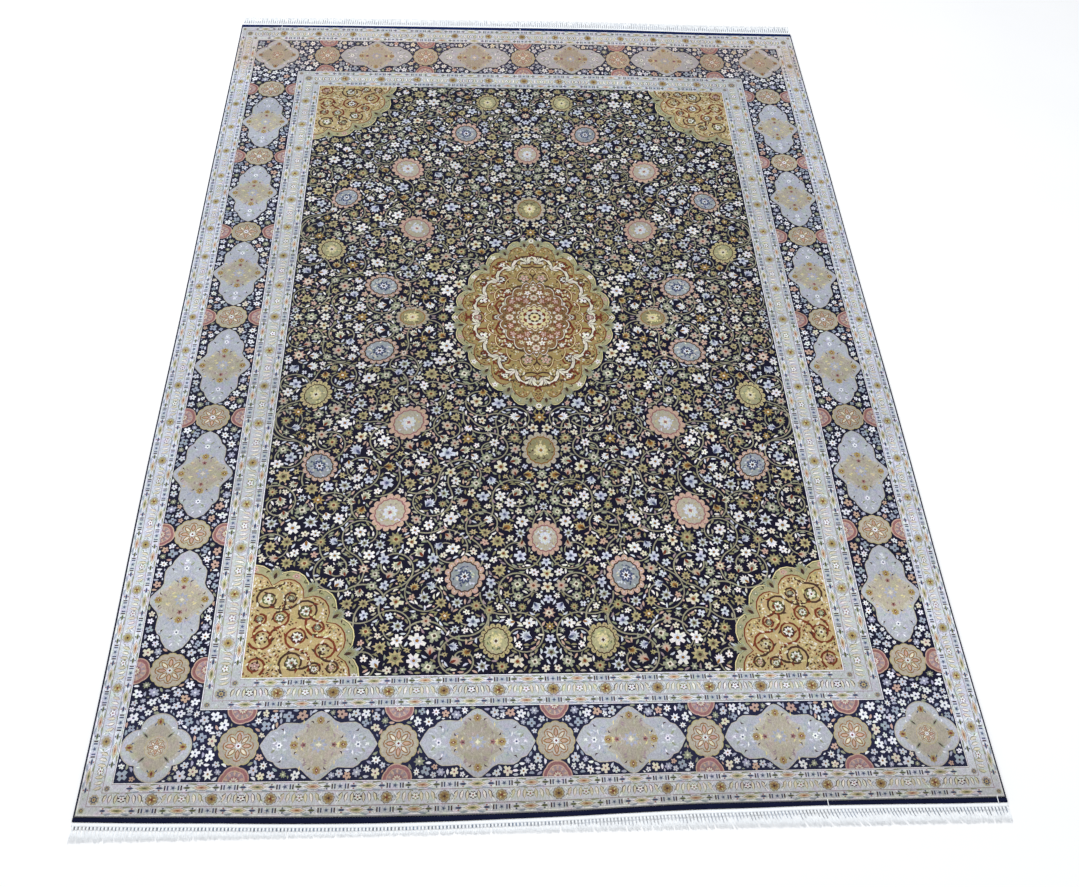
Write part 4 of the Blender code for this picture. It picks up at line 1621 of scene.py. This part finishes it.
class Finish:
    """A material's node tree, with short calls to build it."""

    def __init__(self, name, roughness, sheen, gloss=0.12):
        self.material = bpy.data.materials.new(name)
        self.material.use_nodes = True
        self.tree = self.material.node_tree
        self.shader = self.tree.nodes["Principled BSDF"]
        self.shader.inputs["Roughness"].default_value = roughness
        self.shader.inputs["Sheen Weight"].default_value = sheen
        self.shader.inputs["Sheen Roughness"].default_value = 0.4
        self.shader.inputs["Specular IOR Level"].default_value = gloss
        self.place = self.add("ShaderNodeTexCoord").outputs["Object"]

    def add(self, kind, inputs=(), **settings):
        """A node with its settings and inputs, each a value or a socket to link."""
        node = self.tree.nodes.new(kind)
        for name, value in settings.items():
            setattr(node, name, value)
        for name, value in dict(inputs).items():
            if isinstance(value, bpy.types.NodeSocket):
                self.tree.links.new(value, node.inputs[name])
            else:
                node.inputs[name].default_value = value
        return node

    def noise(self, scale, detail=2.0):
        """Smooth noise, with its scale along each axis in cycles a metre."""
        place = self.add("ShaderNodeMapping", {"Vector": self.place, "Scale": scale}).outputs[0]
        inputs = {"Vector": place, "Scale": 1.0, "Detail": detail}
        return self.add("ShaderNodeTexNoise", inputs).outputs[0]

    def cells(self, size):
        """A random value for each square of the given size."""
        inputs = {0: self.place, 1: (size, size, 1.0)}
        snapped = self.add("ShaderNodeVectorMath", inputs, operation="SNAP").outputs[0]
        return self.add("ShaderNodeTexWhiteNoise", {"Vector": snapped}).outputs[0]

    def between(self, value, low, high, source=(0.3, 0.7)):
        """Maps the source range of a value to low and high."""
        inputs = {0: value, 1: source[0], 2: source[1], 3: low, 4: high}
        return self.add("ShaderNodeMapRange", inputs).outputs[0]

    def math(self, operation, first, second):
        return self.add("ShaderNodeMath", {0: first, 1: second}, operation=operation).outputs[0]

    def length(self):
        """How far along the rug a place is, from 0 near the near end to 1 near the far end."""
        along = self.add("ShaderNodeSeparateXYZ", {0: self.place}).outputs[1]
        return self.between(along, 0.0, 1.0, (-HALF_REACH, HALF_REACH))

    def shaded(self, colour, *factors):
        """The colour, times each factor."""
        value = factors[0]
        for factor in factors[1:]:
            value = self.math("MULTIPLY", value, factor)
        return self.add("ShaderNodeHueSaturation", {"Value": value, "Color": colour}).outputs[0]

    def tinted(self, colour, tint, kind="MULTIPLY"):
        inputs = {"Factor": 1.0, 6: colour, 7: tint}
        settings = {"data_type": "RGBA", "blend_type": kind}
        return self.add("ShaderNodeMix", inputs, **settings).outputs[2]

    def ramp(self, value, stops, interpolation="LINEAR"):
        """Colours by value, from pairs of a place and a colour."""
        ramp = self.add("ShaderNodeValToRGB", {0: value})
        ramp.color_ramp.interpolation = interpolation
        elements = ramp.color_ramp.elements
        elements.remove(elements[1])
        elements[0].position = stops[0][0]
        elements[0].color = (*stops[0][1], 1.0)
        for place, colour in stops[1:]:
            elements.new(place).color = (*colour, 1.0)
        return ramp.outputs[0]

    def bump(self, height, strength, distance):
        inputs = {"Height": height, "Strength": strength, "Distance": distance}
        self.tree.links.new(self.add("ShaderNodeBump", inputs).outputs[0], self.shader.inputs["Normal"])

    def paint(self, colour):
        self.tree.links.new(colour, self.shader.inputs["Base Color"])

    def roughen(self, value, low, high):
        self.tree.links.new(self.between(value, low, high), self.shader.inputs["Roughness"])


def silk_finish():
    """Cut silk pile: knot by knot speckle, uneven dye in bands, a soft sheen, and painted light, shade
    and sheen along its length.
    """
    finish = Finish("silk_pile_looks", 0.5, 0.03, 0.08)
    silk = finish.add("ShaderNodeVertexColor", layer_name="silk").outputs[0]
    knots = finish.cells(KNOT_SIZE)
    dye_bands = finish.noise((0.9, 11.0, 1.0), 3.0)
    clouds = finish.noise((5.0, 4.0, 1.0), 3.0)
    tufts = finish.noise((330.0, 190.0, 1.0))
    factors = (
        finish.between(knots, 0.84, 1.14, (0.0, 1.0)),
        finish.between(dye_bands, 0.92, 1.08),
        finish.between(clouds, 0.93, 1.07),
        finish.between(tufts, 0.88, 1.12),
    )
    length = finish.length()
    # Painted light and shade along the length, from the lie of the nap
    painted_nap_shading = finish.ramp(length, PAINTED_NAP_SHADING)
    # A painted sheen, added to the base colour, that lifts the dark silks near both ends
    sheen = finish.ramp(length, PAINTED_NAP_SHEEN)
    mottle = finish.ramp(finish.noise((75.0, 75.0, 1.0)), MOTTLE_TONES)
    dyed = finish.tinted(finish.shaded(silk, *factors), mottle)
    finish.paint(finish.tinted(finish.tinted(dyed, painted_nap_shading), sheen, "ADD"))
    finish.roughen(clouds, 0.44, 0.62)
    height = finish.math("ADD", finish.math("MULTIPLY", knots, 0.5), tufts)
    finish.bump(height, 0.30, 0.0005)
    return finish.material


def yarn_finish():
    """Dark matt yarn, bluer near the far end by a painted reflection."""
    finish = Finish("navy_yarn_looks", 0.8, 0.03, 0.05)
    fibres = finish.noise((900.0, 900.0, 400.0), 3.0)
    patches = finish.noise((14.0, 14.0, 1.0))
    # Painted reflection: the yarn turns bluer towards the far end
    colour = finish.ramp(finish.length(), ((0.0, NAVY_YARN), (0.95, NAVY_YARN), (0.99, FAR_NAVY_PAINTED_REFLECTION)))
    shades = (finish.between(fibres, 0.7, 1.4), finish.between(patches, 0.85, 1.25))
    finish.paint(finish.shaded(colour, *shades))
    finish.roughen(fibres, 0.72, 0.88)
    finish.bump(fibres, 0.35, 0.0003)
    return finish.material


def cotton_finish():
    """White warp ends, a little uneven, with a faint painted blue shade."""
    finish = Finish("white_cotton_looks", 0.85, 0.2)
    fibres = finish.noise((700.0, 260.0, 500.0), 3.0)
    patches = finish.noise((22.0, 40.0, 1.0), 3.0)
    shades = (finish.between(fibres, 0.93, 1.03), finish.between(patches, 0.96, 1.02))
    finish.paint(finish.shaded(WHITE_COTTON, *shades))
    finish.roughen(patches, 0.78, 0.9)
    finish.bump(fibres, 0.3, 0.0003)
    return finish.material


def painted_shadow_finish():
    """Dark cotton, painted shadow between the knots."""
    finish = Finish("painted_shadow_looks", 0.9, 0.0, 0.05)
    patches = finish.noise((30.0, 30.0, 1.0))
    finish.paint(finish.shaded(PAINTED_SHADOW_COTTON, finish.between(patches, 0.5, 2.6)))
    return finish.material


def back_finish():
    """The knotted back, which shows the border's stripes in paler silk."""
    finish = Finish("woven_back_looks", 0.85, 0.1)
    parts = finish.add("ShaderNodeSeparateXYZ", {0: finish.place}).outputs
    inward = []
    for part, reach in ((parts[0], PILE_WIDTH / 2.0), (parts[1], PILE_LENGTH / 2.0)):
        size = finish.add("ShaderNodeMath", {0: part}, operation="ABSOLUTE").outputs[0]
        inward.append(finish.math("SUBTRACT", reach, size))
    inset = finish.math("MINIMUM", *inward)
    stops = [(0.0, BACK_SILVER)]
    for low, colour in ((BORDER_LOW, BACK_NAVY), (BORDER_HIGH, BACK_SILVER), (FIELD_INSET, BACK_NAVY)):
        stops.append((low * MM * 2.0, colour))
    stripes = finish.ramp(finish.math("MULTIPLY", inset, 2.0), stops, "CONSTANT")
    knots = finish.cells(KNOT_SIZE)
    flecks = finish.noise((60.0, 60.0, 1.0), 3.0)
    shades = (finish.between(knots, 0.7, 1.3, (0.0, 1.0)), finish.between(flecks, 0.5, 2.2))
    finish.paint(finish.shaded(stripes, *shades))
    finish.bump(knots, 0.4, 0.0004)
    return finish.material


def floor_finish():
    """A plain pale floor."""
    finish = Finish("pale_floor", 0.7, 0.0)
    grain = finish.noise((3.0, 3.0, 1.0), 4.0)
    finish.paint(finish.shaded(FLOOR_PALE, finish.between(grain, 0.99, 1.01)))
    return finish.material


def add_floor():
    half = FLOOR_SIZE / 2.0
    corners = [(-half, -half, 0.0), (half, -half, 0.0), (half, half, 0.0), (-half, half, 0.0)]
    floor = make_piece("floor", np.array(corners), np.array([[0, 1, 2, 3]]), floor_finish())
    floor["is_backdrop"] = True


def add_lights():
    for name, place, size, power, colour in LIGHTS:
        lamp = bpy.data.lights.new(name, "AREA")
        lamp.size = size
        lamp.energy = power
        lamp.color = colour
        light = bpy.data.objects.new(name, lamp)
        light.location = place
        light.rotation_euler = (-Vector(place)).to_track_quat("-Z", "Y").to_euler()
        bpy.context.scene.collection.objects.link(light)
    world = bpy.data.worlds.new("soft_room")
    world.use_nodes = True
    background = world.node_tree.nodes["Background"]
    background.inputs["Color"].default_value = (*WORLD_COLOUR, 1.0)
    background.inputs["Strength"].default_value = WORLD_STRENGTH
    bpy.context.scene.world = world


def add_camera():
    lens = bpy.data.cameras.new("photo_view")
    lens.sensor_fit = "HORIZONTAL"
    lens.sensor_width = 36.0
    lens.lens = CAMERA_LENS
    camera = bpy.data.objects.new("photo_view", lens)
    axes = Matrix((CAMERA_RIGHT, CAMERA_UP, CAMERA_BACK)).transposed()
    camera.matrix_world = Matrix.Translation(CAMERA_PLACE) @ axes.to_4x4()
    bpy.context.scene.collection.objects.link(camera)
    bpy.context.scene.camera = camera


def ride_in(pieces, slot, *nodes):
    """The pieces ride with the rug and stand for its solids."""
    for piece in pieces:
        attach(piece, "root")
        if nodes:
            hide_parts(*nodes)


def build():
    add_camera()
    silk, yarn, cotton = silk_finish(), yarn_finish(), cotton_finish()
    # The finish of the dark threads of painted shadow between the knots
    shaded = painted_shadow_finish()
    back = add_foundation(back_finish())
    pile = add_pile(silk)
    ride_in([back, *pile], "silk_pile", "rug")
    trim = []
    for side, name in ((-1, "left"), (1, "right")):
        cord = add_cord(side, name, yarn)
        ride_in([cord], "navy_yarn", "side_cord_" + name)
        trim.append(cord)
    for end, name in ((-1, "near"), (1, "far")):
        band = add_band(end, name, yarn)
        ride_in([band], "navy_yarn", "end_band_" + name)
        fringe = [add_web(end, name, cotton), add_knots(end, name, cotton)]
        fringe += [add_painted_shadow_threads(end, name, shaded), add_strands(end, name, cotton)]
        ride_in(fringe, "white_cotton", "fringe_" + name)
        trim += [band, *fringe]
    stitches = add_stitches(cotton)
    ride_in(stitches, "white_cotton")
    add_floor()
    add_lights()
    bpy.context.scene.view_settings.view_transform = "Standard"


build()
for name, box in (("cad", CAD_BOX), ("visual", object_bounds())):
    [[float(value) for value in corner] for corner in box]
